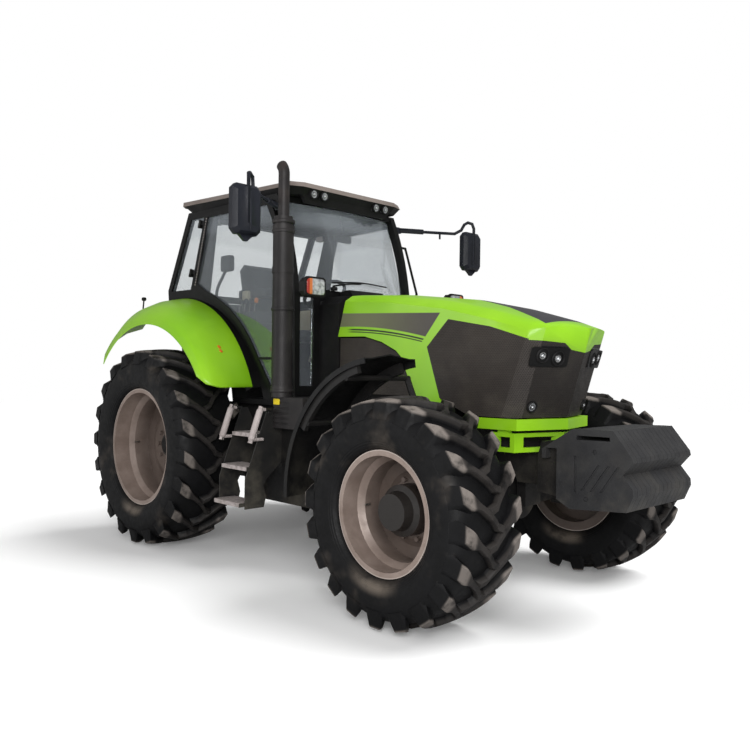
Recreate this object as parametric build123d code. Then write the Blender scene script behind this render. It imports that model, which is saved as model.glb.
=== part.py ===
from build123d import *
import os
from math import acos, asin, atan2, cos, degrees, pi, radians, sin, sqrt

# Four-wheel-drive farm tractor.  Millimetres.  +X forward, +Y left, +Z up.
# Everything is drawn with x = 0 above the rear axle and z = 0 on the ground, and is stored
# moved along X so that the origin lies on the ground under the middle of the whole length.

os.makedirs("parts", exist_ok=True)

# ---------------------------------------------------------------- driving dimensions
wheelbase = 3033
rear_half_track = 1010
front_half_track = 1045
running_fit = 0.05            # radial clearance of every pin or shaft that turns in a bore
seat_gap = 0.3                # between curved faces that seat on each other
door_gap = 6                  # between a door and the frame that it closes against
cab_mount_radius = 55

# tyres and rims
rear_tyre_radius = 860
rear_tyre_width = 600
rear_seat_radius = 482.6
rear_rim_width = 457
rear_lug_height = 50
front_tyre_radius = 700
front_tyre_width = 540
front_seat_radius = 355.6
front_rim_width = 406
front_lug_height = 46
lugs_per_side = 20
tyre_sides = 20               # flats round each carcass
lug_shoulder = 0.462          # a lug's outer end, as a share of the tyre's width
lug_tip_width = 52
lug_base_width = 84
lug_sweep = 17                # degrees from the shoulder end of a lug to its centre end
rim_flange_height = 25
rim_flange_width = 12
rim_wall = 10
rim_step = 34
disc_thickness = 16
disc_dish = 20                # step back from the disc's middle to its rim
rear_disc_inset = 55          # disc's outer face inside the middle plane of the wheel
front_disc_inset = 50
stud_count = 10
nut_radius = 17               # hexagonal wheel nuts, over the corners
rear_stud_circle = 170
front_nut_circle = 185
rear_hub_radius = 215
front_hub_radius = 158
front_hub_length = 185

# axles and steering
trumpet_radius = 125
rear_spindle_radius = 60
front_spindle_radius = 65
kingpin_offset = 790          # from the middle plane to each kingpin
kingpin_radius = 32
knuckle_radius = 82
knuckle_half_height = 98
yoke_arm_thickness = 40
yoke_gap = 6
axle_beam_half_width = 68
axle_beam_half_height = 88
axle_pin_radius = 45
bumper_seat = 1175            # top of the block that carries the bumper

# drive line
gearbox_half_width = 230
gearbox_bottom = 560
gearbox_top = 1130
gearbox_rear = -400
gearbox_front = 1700
engine_half_width = 300
engine_setback = 253          # from the front axle back to the engine's front face
engine_bottom = 830
engine_top = 1760
front_frame_half_width = 170
front_frame_bottom = 815
front_frame_top = 1050
frame_overhang = 512          # from the front axle to the frame's front end

# cab
cab_floor_height = 1300
cab_deck_height = 1570
cab_roof_frame = 2990
side_plane_y = 750            # cab side plane at the rear axle
side_taper = 3.0              # degrees that each side plane turns in towards the front
frame_depth = 55
pillar_front_width = 72
windscreen_foot = 2212
rear_window_foot = 2277
door_thickness = 32
door_border = 42
glass_thickness = 6
arch_x = -150                 # middle of the wheel-arch curve at the cab side
arch_z = 950
arch_radius = 1250
arch_band = 90
door_knee = 36                # degrees on the arch where the door's edge turns straight
door_foot = 1152              # door's rear edge, below the rear fender's front edge
rear_fender_front_height = 1405

# hood
hood_rear = 1680
hood_wall = 14
hood_pin_radius = 12
hood_pin_x = 1735
hood_pin_z = 2075
nose_corner_overhang = 507    # from the front axle to the nose's corners
nose_tip_overhang = 615
nose_height = 1751            # height at which the nose's overhangs are taken
nose_rake = 0.30              # backward lean of the nose, per unit of height

# front weights
weight_count = 14
weight_half_width = 385
weight_gap = 3
rail_top = 1087               # top of the rail that the weights hang from
weight_overhang = 1138        # from the front axle to the tip of the weights

# exhaust and the boxes beside the engine
exhaust_x = 1462
exhaust_y = -814
shield_radius = 81
shield_top = 2740
tail_radius = 44
tail_bend = 95                # radius of the bend at the tail pipe's top
exhaust_top = 3180
aftertreatment_top = 1335
tank_half_width = 760         # outer faces of the fuel tank and the side box
tank_inner = 330
tank_rear = 900
tank_front = 1950
tank_bottom = 500
tank_top = cab_floor_height - 120
box_top = 1095

# three-point linkage
link_pivot_x = -250
link_pivot_z = 500
link_pivot_y = 320
link_ball_x = -1150
link_ball_z = 560
link_ball_y = 482.5
link_ball_bore = 18.7
link_ball_radius = 42
link_depth = 72
link_width = 32
link_pin_radius = 25
rod_eye_share = 0.56          # place of the lift rod's pin along the lower link
rod_pin_radius = 16
rockshaft_x = -330
rockshaft_z = 1060
rockshaft_radius = 48
lift_arm_length = 400
lift_arm_drop = 12            # degrees below the horizontal at rest
lift_arm_y = 400
open_eye_radius = 42          # clear radius of the rod's upper eye round the arm's pin
drawbar_pin_radius = 16.5
top_link_bore = 12.9          # pin hole of the top link's bracket
top_link_x = -455
top_link_z = 1010
shaft_radius = 17.5           # power take-off shaft
shaft_z = 690

# ---------------------------------------------------------------- values worked out from them
rear_axle_height = rear_tyre_radius * cos(lug_tip_width / 2 / rear_tyre_radius)
front_axle_height = front_tyre_radius * cos(lug_tip_width / 2 / front_tyre_radius)
link_reach = -link_ball_x + link_ball_radius
engine_front = wheelbase - engine_setback
front_frame_front = wheelbase + frame_overhang
nose_corner_x = wheelbase + nose_corner_overhang
nose_tip_x = wheelbase + nose_tip_overhang
weight_nose = wheelbase + weight_overhang
cab_half_floor = side_plane_y - 64
middle_x = (weight_nose - link_reach) / 2


# ---------------------------------------------------------------- helpers
def block(x0, x1, y0, y1, z0, z1):
    """A box between six limits."""
    middle = Pos((x0 + x1) / 2, (y0 + y1) / 2, (z0 + z1) / 2)
    return middle * Box(x1 - x0, y1 - y0, z1 - z0)


def outline(*points):
    """A flat face inside a closed polygon of 2-D points."""
    return make_face(Polyline(*points, close=True))


def slab(face, y0, y1):
    """A side-view face (x, z) made solid from y0 to y1."""
    return Pos(0, y1, 0) * extrude(Plane.XZ * face, y1 - y0)


def plate(face, z0, z1):
    """A plan-view face (x, y) made solid from z0 to z1."""
    return Pos(0, 0, z0) * extrude(face, z1 - z0)


def across(face, x0, x1):
    """A front-view face (y, z) made solid from x0 to x1."""
    return Pos(x0, 0, 0) * extrude(Plane.YZ * face, x1 - x0)


def rod(start, end, radius):
    """A round bar between two points."""
    line = Vector(*end) - Vector(*start)
    return extrude(Plane(origin=start, z_dir=line) * Circle(radius), line.length)


def bar(start, end, radius, sides=8):
    """A straight bar with flat sides between two points."""
    line = Vector(*end) - Vector(*start)
    return extrude(Plane(origin=start, z_dir=line) * RegularPolygon(radius, sides), line.length)


def pipe(points, radius):
    """Eight-sided bars along a route, each run a little past its bends."""
    route = [Vector(*point) for point in points]
    run = None
    for number, (start, end) in enumerate(zip(route, route[1:])):
        step = (end - start).normalized() * (0.4 * radius)
        first = start if number == 0 else start - step
        last = end if number == len(route) - 2 else end + step
        piece = bar(tuple(first), tuple(last), radius)
        run = piece if run is None else run + piece
    return run


def layered(sections):
    """A ruled solid through closed polygons of 3-D points."""
    wires = [Wire.make_polygon([Vector(*point) for point in section], close=True) for section in sections]
    return Solid.make_loft(wires, ruled=True)


def mirrored(shape):
    """The same shape on the other side of the middle plane."""
    return mirror(shape, about=Plane.XZ)


def both(shape):
    """A shape and its twin on the other side, as a list."""
    return [shape, mirrored(shape)]


def ring_sector(inner, outer, centre, start, end):
    """A side-view annular sector between two angles in degrees from +X towards +Z."""
    def at(radius, angle):
        return (centre[0] + radius * cos(radians(angle)), centre[1] + radius * sin(radians(angle)))
    half = (start + end) / 2
    edges = [
        ThreePointArc(at(outer, start), at(outer, half), at(outer, end)),
        Line(at(outer, end), at(inner, end)),
        ThreePointArc(at(inner, end), at(inner, half), at(inner, start)),
        Line(at(inner, start), at(outer, start)),
    ]
    return make_face(edges)


def put(name, shapes):
    """Write one node, with its solids moved into the stored frame."""
    solids = []
    for shape in shapes:
        solids.extend(shape.solids())
    moved = [Pos(-middle_x, 0, 0) * solid for solid in solids]
    export_step(Compound(children=moved), f"parts/{name}.step")


# ---------------------------------------------------------------- wheels
# A wheel is drawn at the origin, with +Y pointing out of the left side of the tractor.
def flat_ring(radius, offset):
    """Regular polygon about the wheel's axis, as far outside the circle as inside it."""
    reach = radius * (1 + 1 / cos(pi / tyre_sides)) / 2
    turns = [2 * pi * (number + 0.5) / tyre_sides for number in range(tyre_sides)]
    return [(reach * sin(turn), offset, reach * cos(turn)) for turn in turns]


def lug_section(offset, angle, tip_radius, base_radius):
    """Corners of the trapezoid that ends a lug, at an offset from the tyre's middle plane."""
    corners = []
    for radius, width, side in (
        (base_radius, lug_base_width, -1),
        (tip_radius, lug_tip_width, -1),
        (tip_radius, lug_tip_width, 1),
        (base_radius, lug_base_width, 1),
    ):
        turn = radians(angle) + side * width / 2 / radius
        corners.append(Vector(radius * sin(turn), offset, radius * cos(turn)))
    return corners


def lug(width, radius, tread, side):
    """One lug with flat facets, swept back from the tread's middle to its shoulder."""
    outer = lug_section(side * lug_shoulder * width, 180 - lug_sweep, radius - 10, tread - 45)
    inner = lug_section(0, 180, radius, tread - 30)
    faces = [Face(Wire.make_polygon(end, close=True)) for end in (outer, inner)]
    for number in range(4):
        following = (number + 1) % 4
        near, next_near, next_far, far = outer[number], outer[following], inner[following], inner[number]
        faces.append(Face(Wire.make_polygon([near, next_near, next_far], close=True)))
        faces.append(Face(Wire.make_polygon([near, next_far, far], close=True)))
    return Solid(Shell(faces))


def tyre(radius, width, seat_radius, rim_width, lug_height):
    """Faceted carcass with two staggered rows of lugs fused on."""
    tread = radius - lug_height
    flange = seat_radius + rim_flange_height
    bulge = (flange + tread) / 2
    bead = rim_width / 2 - seat_gap
    # offset from the middle plane, radius
    half = ((bead, flange + 6), (0.5 * width, bulge), (0.475 * width, tread - 16))
    rings = [flat_ring(r, -offset) for offset, r in half] + [flat_ring(r, offset) for offset, r in half[::-1]]
    body = layered(rings) - drum(seat_radius + seat_gap, -width, width)
    lugs = []
    for side, shift in ((1, 0), (-1, 0.5)):
        one = lug(width, radius, tread, side)
        for number in range(lugs_per_side):
            lugs.append(Rot(0, (number + shift) * 360 / lugs_per_side, 0) * one)
    return body.fuse(*lugs)


def rim(seat_radius, rim_width, disc_inset, spindle_radius):
    """Barrel with two flanges and a stepped inner wall, and the dished disc that bolts to the hub."""
    edge = rim_width / 2 + rim_flange_width
    flange = seat_radius + rim_flange_height
    inner = seat_radius - rim_wall
    well = inner - rim_step
    section = outline(
        (inner, -edge), (flange, -edge), (flange, -rim_width / 2), (seat_radius, -rim_width / 2),
        (seat_radius, rim_width / 2), (flange, rim_width / 2), (flange, edge), (inner, edge),
        (inner, 0.22 * rim_width), (well, 0.13 * rim_width), (well, -edge),
    )
    barrel = revolve(section, Axis.Y)
    face = -disc_inset
    back = face - disc_thickness
    disc = revolve(outline(
        (spindle_radius + running_fit, back), (0.57 * well, back), (0.74 * well, back - disc_dish),
        (well + 5, back - disc_dish), (well + 5, face - disc_dish), (0.75 * well, face - disc_dish),
        (0.59 * well, face), (spindle_radius + running_fit, face),
    ), Axis.Y)
    return barrel + disc


def drum(radius, y0, y1):
    """A round solid about the wheel's axis."""
    return Pos(0, (y0 + y1) / 2, 0) * Rot(90, 0, 0) * Cylinder(radius, y1 - y0)


def nuts(circle, y0, y1):
    """A ring of hexagonal wheel nuts about the axis."""
    ring = None
    for number in range(stud_count):
        turn = radians(360 / stud_count * (number + 0.5))
        x, z = circle * sin(turn), circle * cos(turn)
        nut = bar((x, y0, z), (x, y1, z), nut_radius, 6)
        ring = nut if ring is None else ring + nut
    return ring


def rear_wheel_metal():
    face = -rear_disc_inset
    hub = drum(rear_hub_radius, face - disc_thickness - 40, face - disc_thickness)
    hub = hub - drum(rear_spindle_radius + running_fit, face - 200, face)
    cap = drum(rear_spindle_radius + 35, face, face + 30)
    body = rim(rear_seat_radius, rear_rim_width, rear_disc_inset, rear_spindle_radius)
    return body + hub + cap + nuts(rear_stud_circle, face - 1, face + 24)


def front_wheel_metal():
    face = -front_disc_inset
    body = rim(front_seat_radius, front_rim_width, front_disc_inset, front_spindle_radius)
    steps = revolve(outline(
        (0, face), (front_hub_radius, face), (front_hub_radius, face + 0.55 * front_hub_length),
        (0.78 * front_hub_radius, face + 0.64 * front_hub_length),
        (0.70 * front_hub_radius, face + front_hub_length), (0, face + front_hub_length),
    ), Axis.Y)
    return body + steps + nuts(front_nut_circle, face - 1, face + 22)


def wheels():
    axles = (
        ("rear", 0, rear_half_track, rear_axle_height, rear_tyre_radius, rear_tyre_width,
         rear_seat_radius, rear_rim_width, rear_lug_height, rear_wheel_metal),
        ("front", wheelbase, front_half_track, front_axle_height, front_tyre_radius, front_tyre_width,
         front_seat_radius, front_rim_width, front_lug_height, front_wheel_metal),
    )
    for axle, x, track, height, radius, width, seat, rim_width, lug, metal in axles:
        place = Pos(x, track, height)
        rubber = place * tyre(radius, width, seat, rim_width, lug)
        steel = place * metal()
        put(f"{axle}_tyre_left", [rubber])
        put(f"{axle}_tyre_right", [mirrored(rubber)])
        put(f"{axle}_rim_left", [steel])
        put(f"{axle}_rim_right", [mirrored(steel)])


# ---------------------------------------------------------------- drive line
def transmission():
    """Gearbox casting with the rear axle's trumpets and spindles."""
    profile = outline(
        (gearbox_rear, gearbox_bottom), (200, gearbox_bottom), (gearbox_front, 700),
        (gearbox_front, gearbox_top - 60), (650, gearbox_top - 60), (500, gearbox_top),
        (gearbox_rear, gearbox_top),
    )
    body = slab(profile, -gearbox_half_width, gearbox_half_width)
    body = body - rod((rockshaft_x, -gearbox_half_width - 5, rockshaft_z),
                      (rockshaft_x, gearbox_half_width + 5, rockshaft_z), rockshaft_radius + running_fit)
    inner = gearbox_half_width - 5
    flange_face = rear_half_track - rear_disc_inset - disc_thickness - 40 - door_gap
    for side in (1, -1):
        for radius, near, far in (
            (trumpet_radius + 60, inner, inner + 90),
            (trumpet_radius, inner + 80, flange_face),
            (rear_spindle_radius, flange_face - 10, rear_half_track - rear_disc_inset - 1),
        ):
            start = (0, side * near, rear_axle_height)
            end = (0, side * far, rear_axle_height)
            body = body + rod(start, end, radius)
        body = body + rod((link_pivot_x, side * inner, link_pivot_z + 120),
                          (link_pivot_x, side * (link_pivot_y - 30), link_pivot_z + 120), 45)
        body = body + rod((link_pivot_x, side * (inner - 60), link_pivot_z),
                          (link_pivot_x, side * (link_pivot_y + 40), link_pivot_z), link_pin_radius)
        y0, y1 = sorted((side * (inner - 60), side * (link_pivot_y - 30)))
        body = body + block(link_pivot_x - 45, link_pivot_x + 45, y0, y1,
                            link_pivot_z - 45, link_pivot_z + 130)
        y0, y1 = sorted((side * 28, side * 50))
        cheek = outline((gearbox_rear + 5, top_link_z - 110), (gearbox_rear + 5, top_link_z + 80),
                        (top_link_x, top_link_z + 38), (top_link_x - 36, top_link_z),
                        (top_link_x, top_link_z - 38))
        body = body + slab(cheek, y0, y1)
    bore = rod((top_link_x, -60, top_link_z), (top_link_x, 60, top_link_z), top_link_bore)
    housing = rod((gearbox_rear + 5, 0, shaft_z), (gearbox_rear - 40, 0, shaft_z), 75)
    shaft = rod((gearbox_rear - 35, 0, shaft_z), (gearbox_rear - 130, 0, shaft_z), shaft_radius)
    return body - bore + housing + shaft


def front_axle():
    """Beam with a centre housing, pivot bosses and a yoke at each end."""
    x, z = wheelbase, front_axle_height
    yoke_inner = kingpin_offset - knuckle_radius - yoke_gap
    beam = block(x - axle_beam_half_width, x + axle_beam_half_width, -yoke_inner + 40, yoke_inner - 40,
                 z - axle_beam_half_height, z + axle_beam_half_height)
    housing = Pos(x, 0, z) * Rot(0, 90, 0) * Cylinder(165, 240)
    pin = Pos(x, 0, z) * Rot(0, 90, 0) * Cylinder(axle_pin_radius, 420)
    body = beam + housing + pin
    low = knuckle_half_height + yoke_gap
    high = low + yoke_arm_thickness
    for side in (1, -1):
        near, far = yoke_inner - 60, kingpin_offset + kingpin_radius + 25
        for z0, z1 in ((low, high), (-high, -low)):
            y0, y1 = sorted((side * near, side * far))
            body = body + block(x - 60, x + 60, y0, y1, z + z0, z + z1)
        y0, y1 = sorted((side * near, side * (near + 50)))
        body = body + block(x - 60, x + 60, y0, y1, z - high, z + high)
        bore = Pos(x, side * kingpin_offset, z) * Cylinder(kingpin_radius + running_fit, 2 * high + 10)
        body = body - bore
    return body


def knuckle():
    """Left steering knuckle: drum on the kingpin, spindle, top cap and fender bracket."""
    x, y, z = wheelbase, kingpin_offset, front_axle_height
    high = knuckle_half_height + yoke_gap + yoke_arm_thickness + yoke_gap
    body = Pos(x, y, z) * Cylinder(knuckle_radius, 2 * knuckle_half_height)
    body = body + Pos(x, y, z) * Cylinder(kingpin_radius, 2 * high)
    spindle_end = front_half_track - front_disc_inset - 1
    body = body + rod((x, y, z), (x, spindle_end, z), front_spindle_radius)
    shoulder = spindle_end - disc_thickness - disc_dish - door_gap
    body = body + rod((x, y, z), (x, shoulder, z), front_spindle_radius + 30)
    body = body + block(x - 45, x + 45, fender_post_y - 22, y + 45, z + high - 1, z + high + 30)
    middle = z + fender_rise
    under = fender_radius - seat_gap
    hoop = ring_sector(under - 70, under, (x, middle), 104, 150)
    for near in (fender_inner + 20, fender_outer - 50):
        body = body + slab(hoop, near, near + 32)
    rail = fender_radius - fender_skirt - 20
    bars = []
    for angle, start in ((112, fender_post_y - 18), (146, fender_inner + 22)):
        at = (x + rail * cos(radians(angle)), middle + rail * sin(radians(angle)))
        body = body + bar((at[0], start, at[1]), (at[0], fender_outer - 22, at[1]), 18)
        bars.append(at)
    return body + bar((x, fender_post_y, z + high + 5), (bars[0][0], fender_post_y, bars[0][1]), 22)


# front fenders turn with the knuckles
fender_post_y = 728
fender_radius = 890
fender_rise = 38              # centre of the fender's curve above the axle
fender_wall = 8
fender_inner = 850
fender_outer = 1300
fender_rear_angle = 183
fender_front_angle = 98       # the front edge, a little behind the top of the curve
fender_crown = 27             # rise of the middle over the edges
fender_skirt = 46             # depth of the turned-down inner edge
fender_lip = 26               # depth of the turned-down outer edge


def front_fender():
    """Left front fender: a crowned channel turned about the wheel, open to the front."""
    wall, inner, outer = fender_wall, fender_inner, fender_outer
    low, high = fender_radius, fender_radius + fender_wall
    middle = (inner + outer) / 2
    section = outline(
        (low - fender_skirt, inner), (high, inner), (high, inner + 54), (high + fender_crown, middle),
        (high, outer - 54), (high, outer), (low - fender_lip, outer), (low - fender_lip, outer - wall),
        (low, outer - wall), (low, outer - 52), (low + fender_crown, middle), (low, inner + 52),
        (low, inner + wall), (low - fender_skirt, inner + wall),
    )
    turned = revolve(section, Axis.Y, -(fender_rear_angle - fender_front_angle))
    return Pos(wheelbase, 0, front_axle_height + fender_rise) * Rot(0, -fender_front_angle, 0) * turned


def engine():
    """The engine as one plain block."""
    return slab(outline(
        (gearbox_front, engine_bottom - 100), (engine_front - 300, engine_bottom - 100),
        (engine_front - 300, engine_bottom + 220), (engine_front, engine_bottom + 220),
        (engine_front, engine_top - 60), (engine_front - 120, engine_top), (gearbox_front, engine_top),
    ), -engine_half_width, engine_half_width)


def front_frame():
    """Cast frame that carries the axle pivot under it, the bumper on top and the weights in front."""
    x, front = wheelbase, front_frame_front
    rear = engine_front - 300
    low, top = front_frame_bottom, front_frame_top
    side = outline(
        (rear, low + 60), (x - 193, low + 60), (x - 163, low + 75), (x + 167, low + 75), (x + 197, low),
        (front, low), (front, top), (rear, top),
    )
    body = slab(side, -front_frame_half_width, front_frame_half_width)
    for boss in (x - 175, x + 175):
        body = body + block(boss - 35, boss + 35, -90, 90, front_axle_height - 60, low + 100)
    # carrier: an upright plate with a channel behind the rail that the weights hook over
    rail = front + 119
    carrier = outline(
        (front - 45, low - 15), (front + 55, low - 25), (rail, low - 37), (rail, rail_top),
        (rail - 70, rail_top), (rail - 70, rail_top - 72), (front + 12, rail_top - 72),
        (front + 12, top + 70), (front - 16, top + 70), (front - 45, top - 20),
    )
    body = body + slab(carrier, -weight_half_width + 50, weight_half_width - 50)
    body = body + block(x - 180, x + 290, -300, 300, top - 1, bumper_seat)
    pin = Pos(x, 0, front_axle_height) * Rot(0, 90, 0) * Cylinder(axle_pin_radius + seat_gap, 440)
    return body - pin


# ---------------------------------------------------------------- cab
def side_plane():
    """Right side plane of the cab: local x runs forward, local y up, normal outward."""
    turn = radians(side_taper)
    return Plane(origin=(0, -side_plane_y, 0), x_dir=(cos(turn), sin(turn), 0),
                 z_dir=(sin(turn), -cos(turn), 0))


def side_panel(face, inner, outer):
    """A face in the right side plane made solid between two distances outward."""
    return extrude(side_plane().offset(inner) * face, outer - inner)


def arch_point(radius, angle):
    return (arch_x + radius * cos(radians(angle)), arch_z + radius * sin(radians(angle)))


def arch_angle(radius, z):
    """Angle at which the arch curve of this radius stands at height z, in front."""
    return degrees(asin((z - arch_z) / radius))


def cab_side_outline():
    """Outer edge of the cab side, along the wheel arch, sill, front pillar and roof."""
    radius = arch_radius + door_gap
    low = arch_angle(radius, cab_floor_height)
    edges = [
        ThreePointArc(arch_point(radius, 101), arch_point(radius, 60), arch_point(radius, low)),
        Line(arch_point(radius, low), (1450, cab_floor_height)),
        Line((1450, cab_floor_height), (1425, 2240)),
        ThreePointArc((1425, 2240), (1345, 2610), (1195, cab_roof_frame)),
        Line((1195, cab_roof_frame), (-70, cab_roof_frame)),
        Line((-70, cab_roof_frame), (-400, 2290)),
        Line((-400, 2290), arch_point(radius, 101)),
    ]
    return make_face(edges)


def door_way(grow):
    """Door opening in the cab side, made larger by grow all round."""
    radius = arch_radius + arch_band - grow
    low = cab_floor_height + 45 - grow
    foot = door_foot + 22 - grow
    head = 74
    front = 1450 - pillar_front_width + grow
    edges = [
        ThreePointArc(arch_point(radius, head), arch_point(radius, (head + door_knee) / 2),
                      arch_point(radius, door_knee)),
        Line(arch_point(radius, door_knee), (foot, rear_fender_front_height)),
        Line((foot, rear_fender_front_height), (foot, low)),
        Line((foot, low), (front, low)),
        Line((front, low), (front - 25, 2240)),
        ThreePointArc((front - 25, 2240), (front - 103, 2600), (front - 243, 2925 + grow)),
        Line((front - 243, 2925 + grow), (330 - grow, 2925 + grow)),
        Line((330 - grow, 2925 + grow), arch_point(radius, head)),
    ]
    return make_face(edges)


def quarter_window(grow):
    """Fixed side window behind the door opening."""
    return outline(
        (-345 - grow, 2280 - grow), (-25 + grow, 2280 - grow), (195 + grow, 2925 + grow),
        (-35 - grow, 2925 + grow),
    )


def cab_frame():
    """Pillars, sills and rails: two side frames joined across the front, roof and rear."""
    side = side_panel(cab_side_outline() - door_way(0) - quarter_window(0), -frame_depth, -door_gap)
    side = side + hinge_fixed_parts()
    body = side + mirrored(side)
    inner = side_plane_y - 80
    body = body + block(1100, 1195, -inner, inner, cab_roof_frame - 50, cab_roof_frame - 2)
    body = body + block(-75, 10, -inner - 60, inner + 60, cab_roof_frame - 50, cab_roof_frame - 2)
    body = body + block(-395, -330, -inner - 60, inner + 60, 2215, rear_window_foot - seat_gap)
    top = windscreen_foot - seat_gap
    wall = outline((-662, cab_floor_height), (662, cab_floor_height), (662, top), (-662, top))
    hole = outline((470, 1420), (610, 1420), (610, 2140), (470, 2140))
    centre = outline((-400, 1500), (400, 1500), (400, 2120), (-400, 2120))
    wall = wall - hole - mirror(hole, about=Plane.YZ) - centre
    return body + across(wall, 1385, 1425)


def cab_floor():
    """Floor pan that steps up to the rear deck and on to the rear window."""
    floor, deck, pan_wall = cab_floor_height, cab_deck_height, 42
    upper = ((1384, floor), (640, floor), (590, deck), (-180, deck), (-330, 2205))
    lower = ((-375, 2200), (-225, deck - pan_wall), (548, deck - pan_wall), (598, floor - pan_wall),
             (1384, floor - pan_wall))
    return slab(outline(*upper, *lower), -cab_half_floor, cab_half_floor)


def cab_mounts():
    """Four rubber mounts between the gearbox and the floor."""
    blocks = []
    for x, top, low in ((1250, cab_floor_height - 42, gearbox_top - 60),
                        (100, cab_deck_height - 42, gearbox_top)):
        for y in (190, -190):
            blocks.append(Pos(x, y, (top + low) / 2) * Cylinder(cab_mount_radius, top - low))
    return blocks


def wheel_arch():
    """Cheek that closes the cab over the left rear wheel."""
    cheek = ring_sector(1150, arch_radius, (arch_x, arch_z), arch_angle(arch_radius, 1400), 100)
    return slab(cheek, cab_half_floor, fender_edge)


def windscreen():
    """Bowed pane that leans back from the cowl to the roof."""
    def bow(depth):
        return ((1392 - depth, -612), (1475 - depth, 0), (1392 - depth, 612))
    front, back = bow(0), bow(glass_thickness)
    face = make_face([
        ThreePointArc(*front), Line(front[2], back[2]), ThreePointArc(*back[::-1]),
        Line(back[0], front[0]),
    ])
    lean = Vector(-220, 0, 720)
    return extrude(Pos(0, 0, windscreen_foot) * face, lean.length, dir=lean)


def cab_windows():
    """Windscreen, rear window, quarter windows and the low front windows."""
    quarter = side_panel(quarter_window(-1), -30, -30 + glass_thickness)
    foot = rear_window_foot
    rear = slab(outline((-372, foot), (-366, foot), (-66, 2938), (-72, 2938)), -690, 690)
    gap = seat_gap
    low = block(1402, 1402 + glass_thickness, 470 + gap, 610 - gap, 1420 + gap, 2140 - gap)
    return [windscreen(), rear] + both(quarter) + both(low)


def hinge_axis():
    """Foot and direction of the right door's leaning hinge line."""
    plane = side_plane()
    foot = plane.from_local_coords(Vector(10, 2284, door_thickness + hinge_offset))
    head = plane.from_local_coords(Vector(221, 2950, door_thickness + hinge_offset))
    return foot, (head - foot).normalized()


def door_outline(inset):
    """Outer edge of a door, which overlaps its opening; inset draws it smaller."""
    radius = arch_radius + 68 + inset
    low = cab_floor_height + 30 + inset
    foot = door_foot + inset
    head = 72
    front = 1393 - inset
    top = 2944 - inset
    edges = [
        ThreePointArc(arch_point(radius, head), arch_point(radius, (head + door_knee) / 2),
                      arch_point(radius, door_knee)),
        Line(arch_point(radius, door_knee), (foot, rear_fender_front_height)),
        Line((foot, rear_fender_front_height), (foot, low)),
        Line((foot, low), (front, low)),
        Line((front, low), (front - 22, 2240)),
        ThreePointArc((front - 22, 2240), (front - 98, 2600), (front - 242, top)),
        Line((front - 242, top), (245 + inset, top)),
        Line((245 + inset, top), (55 + inset, 2340)),
        Line((55 + inset, 2340), arch_point(radius, head)),
    ]
    return make_face(edges)


def hinge_plane(height):
    """Local frame on the right door's hinge line: z along it, x to the front, y inward."""
    foot, line = hinge_axis()
    at = foot + line * ((height - foot.Z) / line.Z)
    inward = Vector(*side_plane().z_dir) * -1
    return Plane(origin=at, x_dir=inward.cross(line), z_dir=line)


def hinge_part(plane, x0, x1, y0, y1, z0, z1):
    return plane * block(x0, x1, y0, y1, z0, z1)


hinge_heights = (2420, 2850)
hinge_radius = 13
hinge_pin_radius = 7
hinge_offset = 16             # hinge line outside the door's outer face


def hinge_fixed_parts():
    """Brackets and pins on the right side frame."""
    reach = hinge_offset + door_thickness + door_gap
    parts = None
    for height in hinge_heights:
        plane = hinge_plane(height)
        foot = hinge_part(plane, -26, 6, 0, reach, -36, -1)
        barrel = plane * Pos(0, 0, -18.5) * Cylinder(hinge_radius, 35)
        pin = plane * Pos(0, 0, 10) * Cylinder(hinge_pin_radius, 60)
        group = foot + barrel + pin
        parts = group if parts is None else parts + group
    return parts


def door():
    """Right door frame with its two hinge knuckles."""
    frame = side_panel(door_outline(0) - door_outline(door_border), 0, door_thickness)
    for height in hinge_heights:
        plane = hinge_plane(height)
        barrel = plane * Pos(0, 0, 19) * Cylinder(hinge_radius, 36)
        arm = hinge_part(plane, 0, 62, hinge_offset - 9, hinge_offset, 1, 37)
        bore = plane * Pos(0, 0, 20) * Cylinder(hinge_pin_radius + running_fit, 90)
        frame = frame + barrel + arm - bore
    return frame


def door_glass():
    face = door_outline(door_border + 0.5)
    return side_panel(face, 12, 12 + glass_thickness)


def roof_section(height, front, front_half, corner, rear, rear_half):
    """Plan of the roof at one height, with its front corners cut off."""
    half = [(front, front_half), (corner, front_half + 110), (rear + 60, rear_half), (rear, rear_half - 60)]
    right = [(x, -y, height) for x, y in half]
    left = [(x, y, height) for x, y in half[::-1]]
    return right + left


def roof():
    """Roof cap, sloped all round, over a dark fascia."""
    # height, x of the front edge, half width there, x of the corner, x of the rear edge, half width there
    return layered([roof_section(*row) for row in (
        (3044, 1362, 535, 1312, -141, 800),
        (3082, 1352, 520, 1298, -141, 797),
        (3108, 1180, 420, 1120, -60, 690),
    )])


def roof_fascia():
    """Dark band under the cap, with a visor in front that holds the lamps."""
    band = layered([roof_section(*row) for row in (
        (cab_roof_frame, 1318, 500, 1262, -70, 752),
        (3044, 1356, 530, 1306, -128, 790),
    )])
    visor = layered([
        ((1272, -470, 2932), (1296, -470, 2932), (1296, 470, 2932), (1272, 470, 2932)),
        ((1258, -500, 3000), (1320, -500, 3000), (1320, 500, 3000), (1258, 500, 3000)),
    ])
    body = band + visor
    for lamp in roof_lamps(seat_gap):
        body = body - lamp
    return body


def roof_lamps(grow):
    """Four round lamps let into the front of the fascia, made larger by grow."""
    lamps = []
    for y in (301, 416):
        lamps += both(rod((1302 - grow, y, 3010), (1349 + grow, y, 3003), 33 + grow))
    return lamps


# ---------------------------------------------------------------- cab inside
def dashboard():
    """Front console with the column that carries the steering wheel."""
    floor = cab_floor_height
    column = slab(outline((1370, floor), (1370, 2150), (1250, 2180), (1090, 2090), (1120, 2000), (1230, 1900),
                          (1270, floor)), -190, 190)
    return column - steering_shaft(24 + seat_gap)


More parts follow.
